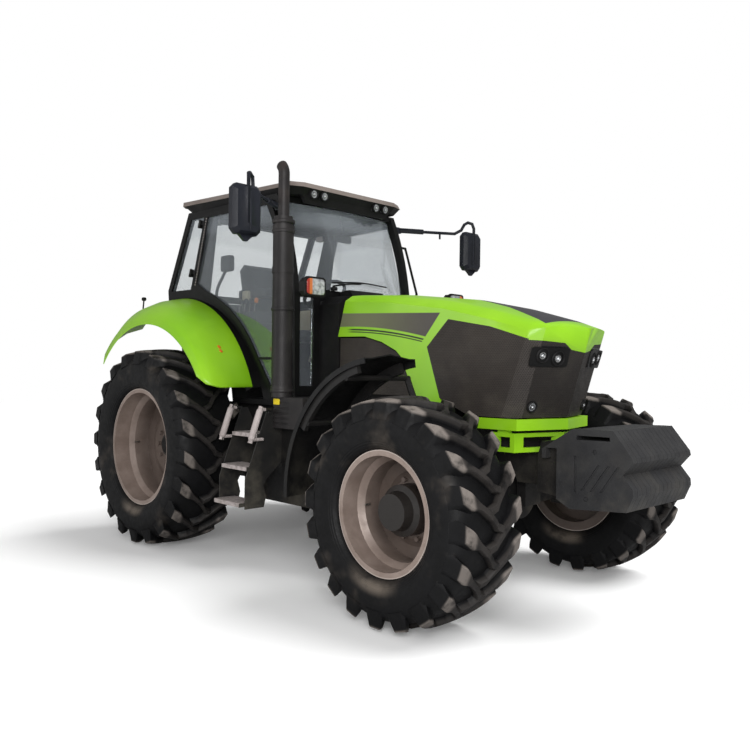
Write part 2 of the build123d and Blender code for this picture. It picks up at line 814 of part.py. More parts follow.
def steering_tilt():
    return Pos(1010, 0, 2230) * Rot(0, -32, 0)


def steering_shaft(radius):
    return steering_tilt() * Pos(0, 0, -95) * Cylinder(radius, 170)


def steering_wheel():
    """Rim of many flats, three spokes, a hub and the shaft."""
    tilt = steering_tilt()
    ring = RegularPolygon(204, 24) - RegularPolygon(178, 24)
    hub = tilt * Pos(0, 0, -20) * extrude(RegularPolygon(45, 12), 40)
    body = tilt * Pos(0, 0, -12) * extrude(ring, 24) + hub
    for turn in (90, 210, 330):
        spoke = tilt * Rot(0, 0, turn) * Pos(108, 0, 0) * Box(152, 30, 14)
        body = body + spoke
    return body + steering_shaft(24)


def seat():
    """Seat's pedestal, cushion and back, all set out from the deck."""
    deck = cab_deck_height
    pan = deck + 230
    base = slab(outline((260, deck), (560, deck), (620, pan), (30, pan), (30, pan - 30), (260, pan - 30)),
                -180, 180)
    low = pan + seat_gap
    cushion = slab(outline((190, low), (730, low), (745, pan + 50), (720, pan + 115), (250, pan + 95),
                           (190, pan + 60)), -250, 250)
    back = slab(outline((60, low), (170, low), (189.7, pan + 62), (150, pan + 760), (60, pan + 800),
                        (-10, pan + 740), (15, pan + 100)), -245, 245)
    return base, cushion, back


def console():
    """Right-hand armrest console beside the seat."""
    deck = cab_deck_height
    return slab(outline((150, deck), (580, deck), (760, deck + 390), (740, deck + 490), (260, deck + 490),
                        (170, deck + 390)), -560, -300)


# ---------------------------------------------------------------- rear fenders
fender_edge = 772             # inner edge of the rear fender, on the cab's cheek
# offset from the middle plane, centre x and z, radius of the outer curve, x of the rear end,
# rise of the front end above its height at the cab
rear_fender_rings = (
    (772, -150, 950, 1250, -900, 0),
    (950, -100, 930, 1235, -870, 0),
    (1130, 0, 900, 1200, -800, 0),
    (1240, 80, 880, 1130, -725, 30),
    (1270, 105, 870, 1070, -690, 90),
)
rear_fender_wall = 14


def rear_fender_section(offset, x, z, radius, rear_end, rise):
    """Closed wire of one crossing of the fender's skin at a fixed offset."""
    edges = []
    inner = radius - rear_fender_wall
    start = degrees(asin((rear_fender_front_height + rise - z) / radius))
    end = degrees(acos((rear_end - x) / radius))
    half = (start + end) / 2

    def at(r, angle):
        return (x + r * cos(radians(angle)), offset, z + r * sin(radians(angle)))
    edges.append(Edge.make_three_point_arc(at(radius, start), at(radius, half), at(radius, end)))
    edges.append(Edge.make_line(at(radius, end), at(inner, end)))
    edges.append(Edge.make_three_point_arc(at(inner, end), at(inner, half), at(inner, start)))
    edges.append(Edge.make_line(at(inner, start), at(radius, start)))
    return Wire(edges)


def rear_fender():
    """Left rear fender as a ruled loft through its crossings."""
    sections = [rear_fender_section(*ring) for ring in rear_fender_rings]
    return Solid.make_loft(sections, ruled=True)


# ---------------------------------------------------------------- hood
# share of the way from the hood's rear edge to the nose, half width, height of the crown,
# height of the shoulder where the crown meets the side
hood_stations = (
    (-0.020, 428, 2174, 2105),
    (0.264, 432, 2142, 2062),
    (0.559, 438, 2076, 1985),
    (0.747, 436, 2000, 1903),
    (0.905, 418, 1915, 1822),
    (1.026, 396, 1832, 1745),
)
hood_low = 1250
grille_bottom = 1258
shoulder_in = 62


def hood_section(share, half_width, crown, shoulder, inset):
    """Crossing of the hood: straight sides, sloped shoulders and an arched crown."""
    x = hood_rear + share * (nose_tip_x - hood_rear)
    w, c, s = half_width - inset, crown - inset, shoulder - inset
    top = w - shoulder_in
    rise = 0.62 * (c - s)
    low = hood_low - (40 if inset else 0)
    edges = [
        Edge.make_line((x, -w, low), (x, w, low)),
        Edge.make_line((x, w, low), (x, w, s)),
        Edge.make_line((x, w, s), (x, top, s + rise)),
        Edge.make_three_point_arc((x, top, s + rise), (x, 0, c), (x, -top, s + rise)),
        Edge.make_line((x, -top, s + rise), (x, -w, s)),
        Edge.make_line((x, -w, s), (x, -w, low)),
    ]
    return Wire(edges)


def hood_body(inset):
    """The hood's outer form, or with an inset the space inside its wall."""
    sections = [hood_section(*station, inset) for station in hood_stations]
    body = Solid.make_loft(sections, ruled=True)
    height = 700
    lean = Vector(nose_rake * height, 0, height)
    base = hood_low - 40
    back = nose_rake * (nose_height - base)
    cheek = nose_corner_x - 78
    nose = outline(
        (1500, -500), (cheek - 132 - back, -500), (cheek - 62 - back, -440), (cheek - back - inset, -412),
        (nose_corner_x - back - inset, -360), (nose_tip_x - back - inset, 0),
        (nose_corner_x - back - inset, 360), (cheek - back - inset, 412), (cheek - 62 - back, 440),
        (cheek - 132 - back, 500), (1500, 500),
    )
    wedge = extrude(Pos(0, 0, base) * nose, 1.4 * lean.length, dir=lean)
    return body & wedge


# Seam between the green cover and the grille: in side view as (distance from the front axle, height),
# then across the nose as (offset from the middle, height), with the dip at the middle.
seam_side = ((-272, 1367), (-396, 1722), (-203, 1911), (152, 1850), (437, 1764))
seam_front = ((-500, 1764), (-369, 1753), (-180, 1742), (-114, 1700), (0, 1684),
              (114, 1700), (180, 1742), (369, 1753), (500, 1764))
seam_turn = 437               # from the front axle to where the seam turns onto the nose
hood_peak = 2300


def hood_side_view():
    """Side view of the green cover: over the engine and down the leg behind the grille."""
    x = wheelbase
    rear = [(hood_rear + 68, hood_peak), (hood_rear + 68, 2097), (hood_rear, 1817), (hood_rear + 310, 1812),
            (hood_rear + 497, 1767)]
    leg = [(x - 703, 1700), (x - 633, 1640), (x - 600, 1555), (x - 516, 1380), (x - 477, 1290),
           (x - 233, 1290)]
    seam = [(x + ahead, height) for ahead, height in seam_side]
    return outline(*rear, *leg, *seam, (x + seam_turn, hood_peak))


def grille_side_view():
    x = wheelbase
    seam = [(x + ahead, height) for ahead, height in seam_side]
    low = grille_bottom
    return outline((x + seam_turn, low), (x - 15, low), *seam)


def hood_parts():
    """Green cover and dark grille, cut from one skin along the seam."""
    skin = hood_body(0) - hood_body(hood_wall)
    turn, front = wheelbase + seam_turn, nose_tip_x + 250
    over = across(outline(*seam_front, (500, hood_peak), (-500, hood_peak)), turn, front)
    under = across(outline(*seam_front, (500, grille_bottom), (-500, grille_bottom)), turn, front)
    cover = skin & (slab(hood_side_view(), -500, 500) + over)
    grille = skin & (slab(grille_side_view(), -500, 500) + under)
    for lamp in head_lamps(seat_gap):
        grille = grille - lamp
    return cover, grille


def head_lamps(grow):
    """Round lamps set square to the two faces of the nose, made larger by grow."""
    spread = (nose_tip_overhang - nose_corner_overhang) / 360
    lamps = []
    # offset from the middle, height, radius
    for y, z, radius in ((338, 1658, 42), (216, 1641, 42), (311, 1329, 30)):
        x = nose_tip_x - spread * y + nose_rake * (z - nose_height)
        out = Vector(1, spread, -nose_rake).normalized()
        middle = Vector(x, y, z)
        start, end = middle - out * (hood_wall + 12 + grow), middle + out * (6 + grow)
        lamps += both(rod(tuple(start), tuple(end), radius + grow))
    return lamps


def hood_hinge_ears():
    """Two ears under the hood's rear end, bored for the hinge pin."""
    ears = None
    for y in (-150, 150):
        ear = slab(outline((hood_pin_x - 30, hood_pin_z - 30), (hood_pin_x + 60, hood_pin_z - 30),
                           (hood_pin_x + 120, 2155), (hood_pin_x + 16, 2155)), y - 8, y + 8)
        ears = ear if ears is None else ears + ear
    bore = rod((hood_pin_x, -200, hood_pin_z), (hood_pin_x, 200, hood_pin_z), hood_pin_radius + running_fit)
    return ears - bore


def cowl():
    """Dark housing between the cab's front wall and the hood, with the hood's hinge pin."""
    face = outline((-405, 1340), (405, 1340), (405, 2080), (340, 2150), (-340, 2150), (-405, 2080))
    body = across(face, 1425, hood_rear - 12)
    arm = slab(outline((hood_rear - 20, hood_pin_z - 90), (hood_pin_x + 20, hood_pin_z - 20),
                       (hood_pin_x + 20, hood_pin_z + 20), (hood_rear - 20, hood_pin_z + 30)), 115, 130)
    cover = slab(outline((1428, 2149), (1600, 2149), (1556, 2216), (1482, 2216), (1480, 2205), (1428, 2205)),
                 -190, 190)
    body = body + arm + mirrored(arm) + cover
    return body + rod((hood_pin_x, -170, hood_pin_z), (hood_pin_x, 170, hood_pin_z), hood_pin_radius)


def engine_shields():
    """Dark plates beside the engine under the hood's edge."""
    x = wheelbase
    face = outline((hood_rear + 10, 1372), (x - 553, 1372), (x - 623, 1555), (x - 658, 1640), (x - 723, 1692),
                   (hood_rear + 490, 1757), (hood_rear + 310, 1802), (hood_rear + 14, 1806))
    body = slab(face, 405, 411)
    for lug_x in (1900, 2250):
        body = body + block(lug_x - 20, lug_x + 20, engine_half_width, 406, 1480, 1520)
    return body


def vee_plan(rear, corner, tip, half_width, inset):
    """Plan of the bumper's bow: straight sides and a pointed front."""
    x, y = wheelbase, half_width - inset
    return outline((x + rear, -y), (x + corner - 0.8 * inset, -y), (x + tip - inset, 0),
                   (x + corner - 0.8 * inset, y), (x + rear, y))


def bumper():
    """Green bow under the grille, with an open lower bow hung from its floor."""
    x = wheelbase
    band = plate(vee_plan(-15, 369, 477, 430, 0) - vee_plan(-16, 369, 477, 430, 50), bumper_seat + 3, 1250)
    slant = outline((x - 16, 1251), (x + 480, 1251), (x + 480, bumper_seat), (x + 62, bumper_seat))
    band = band & slab(slant, -450, 450)
    floor = block(x + 70, x + 300, -400, 400, bumper_seat, bumper_seat + 14)
    low = plate(vee_plan(140, 333, 447, 402, 0) - vee_plan(139, 333, 447, 402, 34), 1034, 1158)
    low = low & slab(outline((x + 130, 1159), (x + 460, 1159), (x + 460, 1033), (x + 190, 1033)), -450, 450)
    # openings beside the corners and in the front, on each side
    windows = block(x + 205, x + 300, -450, 450, 1064, 1132)
    front = plate(outline((x + 300, 70), (x + 480, 70), (x + 480, 330), (x + 300, 330)), 1064, 1132)
    low = low - windows - front - mirrored(front)
    beam = front_frame_half_width + door_gap
    low = low - block(x, x + 480, -beam, beam, 1000, front_frame_top + door_gap)
    for y in (-384, 384):
        low = low + block(x + 200, x + 290, y - 16, y + 16, 1140, bumper_seat + 1)
    return band + floor + low


# ---------------------------------------------------------------- front weights
def weights():
    """Suitcase weights hung side by side over the carrier's rail."""
    nose, rail = weight_nose, front_frame_front + 119
    top = rail_top
    side = outline(
        (nose - 397, 1212), (nose - 131, 1218), (nose - 10, 1068), (nose - 4, 1040), (nose - 67, 966),
        (nose - 4, 890), (nose, 850), (nose - 42, 755), (nose - 408, 728), (rail + 3, 778),
        (rail + 3, top), (rail - 73, top), (rail - 73, top - 66), (rail - 103, top - 66),
        (rail - 103, top - 8),
    )
    slot = outline((nose - 367, 1150), (nose - 147, 1155), (nose - 151, 1178), (nose - 367, 1176))
    plain = side - slot
    pitch = 2 * weight_half_width / weight_count
    pieces = []
    for number in range(weight_count):
        start = -weight_half_width + number * pitch + weight_gap / 2
        pieces.append(slab(plain, start, start + pitch - weight_gap))
    for number, inward in ((0, 1), (weight_count - 1, -1)):
        face = -inward * (weight_half_width - weight_gap / 2)
        for groove in weight_grooves():
            y0, y1 = sorted((face - inward, face + 9 * inward))
            pieces[number] = pieces[number] - slab(groove, y0, y1)
    return pieces


def weight_grooves():
    """Sunk slots in the face of an outer weight: one upright, three slanted and two pin holes."""
    nose = weight_nose
    grooves = [outline((nose - 380, 834), (nose - 366, 834), (nose - 366, 1053), (nose - 380, 1053))]
    for step in (0, 62, 124):
        x = nose - 335 + step
        grooves.append(outline((x, 850), (x + 18, 850), (x + 128, 1010), (x + 110, 1010)))
    for x, z in ((nose - 245, 1085), (nose - 300, 800)):
        grooves.append(Pos(x, z) * RegularPolygon(15, 8))
    return grooves


# ---------------------------------------------------------------- sides, steps, exhaust
def exhaust():
    """Upright silencer in a banded shield, with a tail pipe bent back at its top."""
    x, y = exhaust_x, exhaust_y

    def ring(radius, z0, z1):
        return Pos(x, y, (z0 + z1) / 2) * Cylinder(radius, z1 - z0)
    body = ring(shield_radius, aftertreatment_top, shield_top - 70)
    body = body + ring(shield_radius - 8, shield_top - 72, shield_top)
    for z in (aftertreatment_top + 40, shield_top - 440, shield_top - 118):
        body = body + ring(shield_radius + 5, z, z + 48)
    straight = exhaust_top - 105
    body = body + ring(tail_radius, shield_top - 40, straight)
    bend = Pos(x - tail_bend, y, straight) * revolve(Pos(tail_bend, 0) * Circle(tail_radius), Axis.Y, -48)
    return body + bend


def aftertreatment():
    """Exhaust cleaning box beside the cab's front corner, stepped clear of the cab, with cooling ribs."""
    inner, outer = -engine_half_width - 130, -850
    low = block(1405, 1770, outer, inner, box_top, 1240)
    shelf = block(1405, 1770, outer, -side_plane_y - 14, 1239, aftertreatment_top)
    front = block(1462, 1770, -side_plane_y - 15, inner, 1239, aftertreatment_top)
    arm = block(1710, 1765, inner - 1, -engine_half_width, 1130, 1190)
    body = low + shelf + front + arm
    for number in range(5):
        z = box_top + 30 + 40 * number
        body = body - block(1400, 1600, outer - 1, outer + 8, z, z + 14)
    return body


def fuel_tank():
    """Fuel tank on the left, strapped to the gearbox."""
    body = block(tank_rear, tank_front, tank_inner, tank_half_width, tank_bottom, tank_top)
    for x in (1000, 1500):
        body = body + block(x - 30, x + 30, gearbox_half_width, tank_inner + 1, 700, 760)
    return body


def side_box():
    """Battery and tool box on the right."""
    body = block(tank_rear, tank_front - 50, -tank_half_width, -tank_inner, tank_bottom, box_top)
    for x in (1000, 1500):
        body = body + block(x - 30, x + 30, -tank_inner - 1, -gearbox_half_width, 700, 760)
    return body


def steps():
    """Right-hand steps: two side plates, three treads and a pair of padded grips."""
    near = -tank_half_width
    plates = None
    for x in (1040, 1390):
        face = outline((near, 1090), (-840, 1240), (-900, 1240), (-1100, 704), (-1100, 480), (-925, 480),
                       (-905, 560), (-930, 650), (-900, 700), (near, 820))
        body = across(face, x, x + 10)
        plates = body if plates is None else plates + body
    # height, distance out
    for z, out in ((500, 1150), (770, 1085), (1020, 990)):
        plates = plates + block(1045, 1395, -out, -out + 190, z, z + 30)
    # grip, side plate that carries it
    for x, carrier in ((1022, 1041), (1418, 1399)):
        x0, x1 = sorted((x, carrier))
        plates = plates + bar((x, -1075, 985), (x, -975, 1262), 19)
        plates = plates + bar((x, -1066, 1010), (x, -955, 1010), 13)
        plates = plates + bar((x, -982, 1240), (x, -880, 1236), 13)
        plates = plates + block(x0, x1, -968, -950, 1000, 1020) + block(x0, x1, -900, -880, 1205, 1240)
    return plates


def mirror_set():
    """Left mirror: rounded housing with a tail, on a tube that loops over it from the front pillar."""
    x, y, z = 1635, 1289, 2696

    def shell(at, wide, high):
        w, h = wide / 2, high / 2
        cut = 0.28 * wide / 2
        return [(at, y + dy, z + dz) for dy, dz in (
            (-w + cut, -h), (w - cut, -h), (w, -h + cut), (w, h - cut), (w - cut, h), (-w + cut, h),
            (-w, h - cut), (-w, -h + cut))]
    head = layered([shell(x - 42, 232, 348), shell(x - 30, 246, 362), shell(x + 12, 246, 362),
                    shell(x + 42, 188, 314)])
    tail = layered([
        ((x - 22, y - 62, z - 177), (x + 18, y - 62, z - 177), (x + 18, y + 62, z - 177),
         (x - 22, y + 62, z - 177)),
        ((x - 10, y - 14, z - 226), (x + 6, y - 14, z - 226), (x + 6, y + 14, z - 226),
         (x - 10, y + 14, z - 226)),
    ])
    foot = outline((1222, 2840), (1262, 2840), (1238, 2900), (1204, 2900))
    foot = mirrored(side_panel(foot, -door_gap, 34))
    sleeve = bar((1240, 712, 2872), (1368, 905, 2868), 24)
    loop = [(1350, 882, 2868), (1548, 1150, 2862), (1590, 1196, 2896), (1612, 1216, 2950),
            (x - 8, 1250, 2972), (x + 20, 1280, 2960), (x + 34, y, 2914), (x + 34, y, 2600)]
    knob = bar((1462, 1036, 2868), (1462, 1036, 2806), 9)
    return head + tail + foot + sleeve + pipe(loop, 14) + knob


def pillar_lamps():
    """Left lamp cluster on an arm that reaches forward and out from the cab's front wall."""
    middle, half, height, tall = 815, 92, 2168, 68

    def shell(x, grow):
        y0, y1, cut = middle - half - grow, middle + half + grow, 32
        z0, z1 = height - tall - grow, height + tall + grow
        return [(x, y, z) for y, z in ((y0 + cut, z0), (y1 - cut, z0), (y1, z0 + cut), (y1, z1 - cut),
                                       (y1 - cut, z1), (y0 + cut, z1), (y0, z1 - cut), (y0, z0 + cut))]
    head = layered([shell(1752, -24), shell(1780, 0), shell(1838, 0), shell(1856, -12)])
    arm = pipe([(1425, 600, 2172), (1462, 600, 2172), (1540, 655, 2176), (1700, 760, 2176),
                (1765, 800, 2170)], 15)
    return head + arm


def grab_rail():
    """Tube in front of the left front pillar."""
    return pipe([(1402, 671.2, 2200), (1402, 744, 2200), (1436, 752, 2262), (1308, 752, 2632),
                 (1288, 746, 2700), (1288, 677.2, 2700)], 11)


# ---------------------------------------------------------------- three-point linkage
def link_point(share, side):
    """Point along a lower link's middle line."""
    return (link_pivot_x + share * (link_ball_x - link_pivot_x),
            side * (link_pivot_y + share * (link_ball_y - link_pivot_y)),
            link_pivot_z + share * (link_ball_z - link_pivot_z))


def lower_link(side):
    """One lower link: bar with a pivot eye, a rod pin and a bored ball end."""
    start, end = link_point(0, side), link_point(1, side)
    bar = Pos(0, 0, 0) * slab(outline(
        (start[0], start[2] - link_depth / 2), (end[0], end[2] - link_depth / 2),
        (end[0], end[2] + link_depth / 2), (start[0], start[2] + link_depth / 2)),
        side * link_pivot_y - link_width / 2, side * link_pivot_y + link_width / 2)
    lean = degrees(atan2(side * (link_ball_y - link_pivot_y), -(link_ball_x - link_pivot_x)))
    turn = Pos(start[0], start[1], 0) * Rot(0, 0, -lean) * Pos(-start[0], -start[1], 0)
    bar = turn * bar
    ball = Pos(*end) * Rot(90, 0, 0) * Cylinder(link_ball_radius, 56)
    eye = Pos(*start) * Rot(90, 0, 0) * Cylinder(link_depth / 2 + 4, 44)
    pin_at = link_point(rod_eye_share, side)
    pin = Pos(*pin_at) * Rot(90, 0, 0) * Cylinder(rod_pin_radius, 120)
    body = bar + ball + eye + pin
    body = body - Pos(*end) * Rot(90, 0, 0) * Cylinder(link_ball_bore, 80)
    return body - Pos(*start) * Rot(90, 0, 0) * Cylinder(link_pin_radius + running_fit, 80)


def lift_arm_tip():
    turn = radians(lift_arm_drop)
    return rockshaft_x - lift_arm_length * cos(turn), rockshaft_z - lift_arm_length * sin(turn)


def lift_arms():
    """Rockshaft with an arm on each side."""
    tip_x, tip_z = lift_arm_tip()
    body = rod((rockshaft_x, -lift_arm_y - 20, rockshaft_z), (rockshaft_x, lift_arm_y + 20, rockshaft_z),
               rockshaft_radius)
    for side in (1, -1):
        y = side * lift_arm_y
        face = outline((rockshaft_x, rockshaft_z + 60), (tip_x, tip_z + 32), (tip_x - 32, tip_z),
                       (tip_x, tip_z - 32), (rockshaft_x, rockshaft_z - 60), (rockshaft_x + 50, rockshaft_z))
        body = body + slab(face, y - 20, y + 20)
        body = body + rod((tip_x, y, tip_z), (tip_x, y + side * 75, tip_z), rod_pin_radius)
    return body


def lift_rods():
    """Rod on each side from the lower link's pin to the arm's pin."""
    tip_x, tip_z = lift_arm_tip()
    bodies = []
    for side in (1, -1):
        foot = link_point(rod_eye_share, side)
        y = side * (lift_arm_y + 52)
        low = Pos(foot[0], y, foot[2]) * Rot(90, 0, 0) * Cylinder(34, 30)
        top = Pos(tip_x, y, tip_z) * Rot(90, 0, 0) * Cylinder(open_eye_radius + 14, 30)
        bar = rod((foot[0], y, foot[2]), (tip_x, y, tip_z), 14)
        body = low + top + bar
        body = body - Pos(foot[0], y, foot[2]) * Rot(90, 0, 0) * Cylinder(rod_pin_radius + running_fit, 60)
        body = body - Pos(tip_x, y, tip_z) * Rot(90, 0, 0) * Cylinder(open_eye_radius, 60)
        bodies.append(body)
    return bodies


def drawbar():
    """Drawbar with a vertical pin hole, hung from the gearbox."""
    bar_body = block(-900, 300, -50, 50, 480, 520)
    for x0, x1 in ((-300, -200), (100, 195)):
        bar_body = bar_body + block(x0, x1, -60, 60, 519, gearbox_bottom)
    hole = Pos(-850, 0, 500) * Cylinder(drawbar_pin_radius, 60)
    return bar_body - hole


# ---------------------------------------------------------------- write the nodes
wheels()
put("transmission", [transmission()])
put("engine", [engine()])
put("front_frame", [front_frame()])
put("front_axle", [front_axle()])
left_knuckle = knuckle()
put("knuckle_left", [left_knuckle])
put("knuckle_right", [mirrored(left_knuckle)])
left_fender = front_fender()
put("front_fender_left", [left_fender])
put("front_fender_right", [mirrored(left_fender)])
put("cab_frame", [cab_frame()])
put("cab_floor", [cab_floor()])
put("cab_mounts", cab_mounts())
put("wheel_arches", both(wheel_arch()))
put("cab_windows", cab_windows())
right_door = door()
put("door_right", [right_door])
put("door_left", [mirrored(right_door)])
right_glass = door_glass()
put("door_right_glass", [right_glass])
put("door_left_glass", [mirrored(right_glass)])
put("roof_cap", [roof()])
put("roof_fascia", [roof_fascia()])
put("roof_lamps", roof_lamps(0))
put("dashboard", [dashboard()])
put("steering_wheel", [steering_wheel()])
seat_base, seat_cushion, seat_back = seat()
put("seat_base", [seat_base])
put("seat_cushion", [seat_cushion])
put("seat_back", [seat_back])
put("console", [console()])
put("rear_fenders", both(rear_fender()))
hood_cover, hood_grille = hood_parts()
put("hood_cover", [hood_cover + hood_hinge_ears()])
put("grille", [hood_grille])
put("head_lamps", head_lamps(0))
put("cowl", [cowl()])
put("engine_shields", both(engine_shields()))
put("bumper", [bumper()])
put("weights", weights())
put("exhaust", [exhaust()])
put("aftertreatment", [aftertreatment()])
put("fuel_tank", [fuel_tank()])
put("side_box", [side_box()])
put("steps", both(steps()))
put("mirrors", both(mirror_set()))
put("pillar_lamps", both(pillar_lamps()))
put("grab_rail", [grab_rail()])
put("lower_links", [lower_link(1), lower_link(-1)])
put("lift_arms", [lift_arms()])
put("lift_rods", lift_rods())
put("drawbar", [drawbar()])
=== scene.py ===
import math
import bmesh
import bpy
import numpy as np
from mathutils import Matrix, Vector


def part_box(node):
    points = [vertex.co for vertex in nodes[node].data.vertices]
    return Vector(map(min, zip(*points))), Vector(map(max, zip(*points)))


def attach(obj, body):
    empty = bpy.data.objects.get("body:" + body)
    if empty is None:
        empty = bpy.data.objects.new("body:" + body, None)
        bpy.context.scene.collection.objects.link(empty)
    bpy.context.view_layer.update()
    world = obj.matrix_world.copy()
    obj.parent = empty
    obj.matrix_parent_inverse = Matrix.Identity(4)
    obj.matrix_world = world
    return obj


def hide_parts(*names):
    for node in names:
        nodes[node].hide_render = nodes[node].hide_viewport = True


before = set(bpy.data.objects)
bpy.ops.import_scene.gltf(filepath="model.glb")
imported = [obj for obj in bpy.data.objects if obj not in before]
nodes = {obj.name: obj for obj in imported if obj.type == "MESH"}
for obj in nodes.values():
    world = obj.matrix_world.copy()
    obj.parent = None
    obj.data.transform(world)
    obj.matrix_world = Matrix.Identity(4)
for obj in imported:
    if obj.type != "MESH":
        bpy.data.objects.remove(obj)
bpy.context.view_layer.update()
print("frame loaded:", len(nodes), "parts of the tractor")

wheelbase = 3.033
rearAxle = -1.4895                       # x of the rear axle in the frame
frontAxle = rearAxle + wheelbase

# metres and degrees; lens and sensor in millimetres
cameraPlace = {"x": 4.7525, "y": -4.456, "z": 1.545, "heading": 45.74, "down": 0.27, "roll": 0.74,
               "lens": 36.69, "sensor": 36, "reach": 200}


def addCamera(c):
    heading, down, roll = (math.radians(c[k]) for k in ("heading", "down", "roll"))
    look = Vector((-math.sin(heading) * math.cos(down), math.cos(heading) * math.cos(down), -math.sin(down)))
    right = Vector((math.cos(heading), math.sin(heading), 0))
    up = right.cross(look)
    across = math.cos(roll) * right + math.sin(roll) * up
    above = -math.sin(roll) * right + math.cos(roll) * up
    data = bpy.data.cameras.new("frontCorner")
    data.lens, data.sensor_width, data.clip_end = c["lens"], c["sensor"], c["reach"]
    camera = bpy.data.objects.new("frontCorner", data)
    bpy.context.scene.collection.objects.link(camera)
    turn = Matrix((across, above, -look)).transposed().to_4x4()
    camera.matrix_world = Matrix.Translation((c["x"], c["y"], c["z"])) @ turn
    bpy.context.scene.camera = camera


addCamera(cameraPlace)
print("camera set")


class Term:                              # one value in a material; sums on it add Math nodes
    def __init__(self, finish, socket):
        self.finish, self.socket = finish, socket

    def math(self, operation, *values):
        return self.finish.node("Math", {"operation": operation}, dict(enumerate(values)))

    def __add__(self, other): return self.math("ADD", self, other)
    def __radd__(self, other): return self.math("ADD", other, self)
    def __sub__(self, other): return self.math("SUBTRACT", self, other)
    def __rsub__(self, other): return self.math("SUBTRACT", other, self)
    def __mul__(self, other): return self.math("MULTIPLY", self, other)
    def __rmul__(self, other): return self.math("MULTIPLY", other, self)
    def __truediv__(self, other): return self.math("DIVIDE", self, other)
    def __rtruediv__(self, other): return self.math("DIVIDE", other, self)
    def __neg__(self): return self.math("MULTIPLY", self, -1)
    def __abs__(self): return self.math("ABSOLUTE", self)
    def __mod__(self, other): return self.math("FLOORED_MODULO", self, other)
    def __lt__(self, other): return self.math("LESS_THAN", self, other)
    def __gt__(self, other): return self.math("GREATER_THAN", self, other)
    def floor(self): return self.math("FLOOR", self)
    def sin(self): return self.math("SINE", self)
    def root(self): return self.math("SQRT", self)
    def arctan(self, other): return self.math("ARCTAN2", self, other)
    def least(self, other): return self.math("MINIMUM", self, other)
    def most(self, other): return self.math("MAXIMUM", self, other)

    def rise(self, start, end):          # 0 before start, 1 after end, smooth between
        return self.finish.node("MapRange", {"interpolation_type": "SMOOTHSTEP"},
                                {0: self, 1: start, 2: end, 3: 0.0, 4: 1.0})

    def band(self, low, high, soft):     # 1 between low and high
        return self.rise(low - soft, low + soft) * (1 - self.rise(high - soft, high + soft))


class Finish:                            # one material, or the air around, under construction
    def __init__(self, name, kind="materials"):
        self.material = getattr(bpy.data, kind).new(name)
        self.material.use_nodes = True
        self.tree = self.material.node_tree
        self.tree.nodes.clear()
        self.place = self.node("TexCoord", out="Object")
        self.x, self.y, self.z = (self.node("SeparateXYZ", inputs={0: self.place}, out=n) for n in range(3))

    def node(self, kind, settings=None, inputs=None, out=0):
        made = self.tree.nodes.new("ShaderNode" + kind)
        for key, value in (settings or {}).items():
            setattr(made, key, value)
        for key, value in (inputs or {}).items():
            if isinstance(value, Term):
                self.tree.links.new(value.socket, made.inputs[key])
            else:
                made.inputs[key].default_value = value
        return Term(self, made.outputs[out]) if made.outputs else None

    def noise(self, scale, detail=3.0, rough=0.55, place=None):
        return self.node("TexNoise", inputs={"Vector": place or self.place, "Scale": scale, "Detail": detail,
                                             "Roughness": rough})

    def cells(self, scale):
        return self.node("TexVoronoi", inputs={"Vector": self.place, "Scale": scale})

    def mix(self, share, first, second):
        return self.node("Mix", {"data_type": "RGBA"}, {0: share, 6: first, 7: second}, 2)

    def stretched(self, x, y, z):
        return self.node("Mapping", inputs={"Vector": self.place, "Scale": (x, y, z)})

    def radius(self, x, z):              # distance from a wheel's axis
        dx, dz = self.x - x, self.z - z
        return (dx * dx + dz * dz).root()

    def surface(self, colour, roughness, height, depth, **constant):
        inputs = {"Base Color": colour, "Roughness": roughness}
        inputs.update({key.replace("_", " "): value for key, value in constant.items()})
        inputs["Normal"] = self.node("Bump", inputs={"Strength": 1.0, "Distance": depth, "Height": height})
        shader = self.node("BsdfPrincipled", inputs=inputs)
        self.node("OutputMaterial", inputs={0: shader})
        return self.material


def tone(red, green, blue):              # a screen colour, 0 to 255, as the shader wants it
    parts = [c / 255 for c in (red, green, blue)]
    return tuple(c / 12.92 if c <= 0.04045 else ((c + 0.055) / 1.055) ** 2.4 for c in parts) + (1.0,)


def grime(finish, low, high):            # settled dust: more towards the ground, in patches
    return (1 - finish.z.rise(low, high)) * finish.noise(3.2, 5, 0.62).rise(0.42, 0.68)


paint = {"leaf": tone(146, 202, 32), "leafDeep": tone(128, 188, 22), "dust": tone(150, 142, 126),
         "dark": tone(50, 50, 54), "stripe": tone(70, 65, 61), "stripeGlare": tone(104, 108, 78),
         "line": tone(26, 26, 26), "peel": 0.0006, "coat": 0.12, "coatRough": 0.16}


def leafColour(finish):                  # two close greens in broad soft patches
    return finish.mix(finish.noise(1.4, 3).rise(0.3, 0.7), paint["leaf"], paint["leafDeep"])


def orangePeel(finish):
    return finish.noise(240, 2, 0.5) * 0.6 + finish.noise(9, 3, 0.5) * 0.4


def fenderPaint():
    f = Finish("fenderLeafGreen")
    speck = f.noise(170, 2, 0.6).rise(0.68, 0.78)
    colour = f.mix(grime(f, 0.5, 1.5) * 0.3 + speck * 0.08, leafColour(f), paint["dust"])
    rough = f.noise(5, 4).rise(0.25, 0.8) * 0.14 + 0.34
    return f.surface(colour, rough, orangePeel(f), paint["peel"], Coat_Weight=paint["coat"],
                     Coat_Roughness=paint["coatRough"])
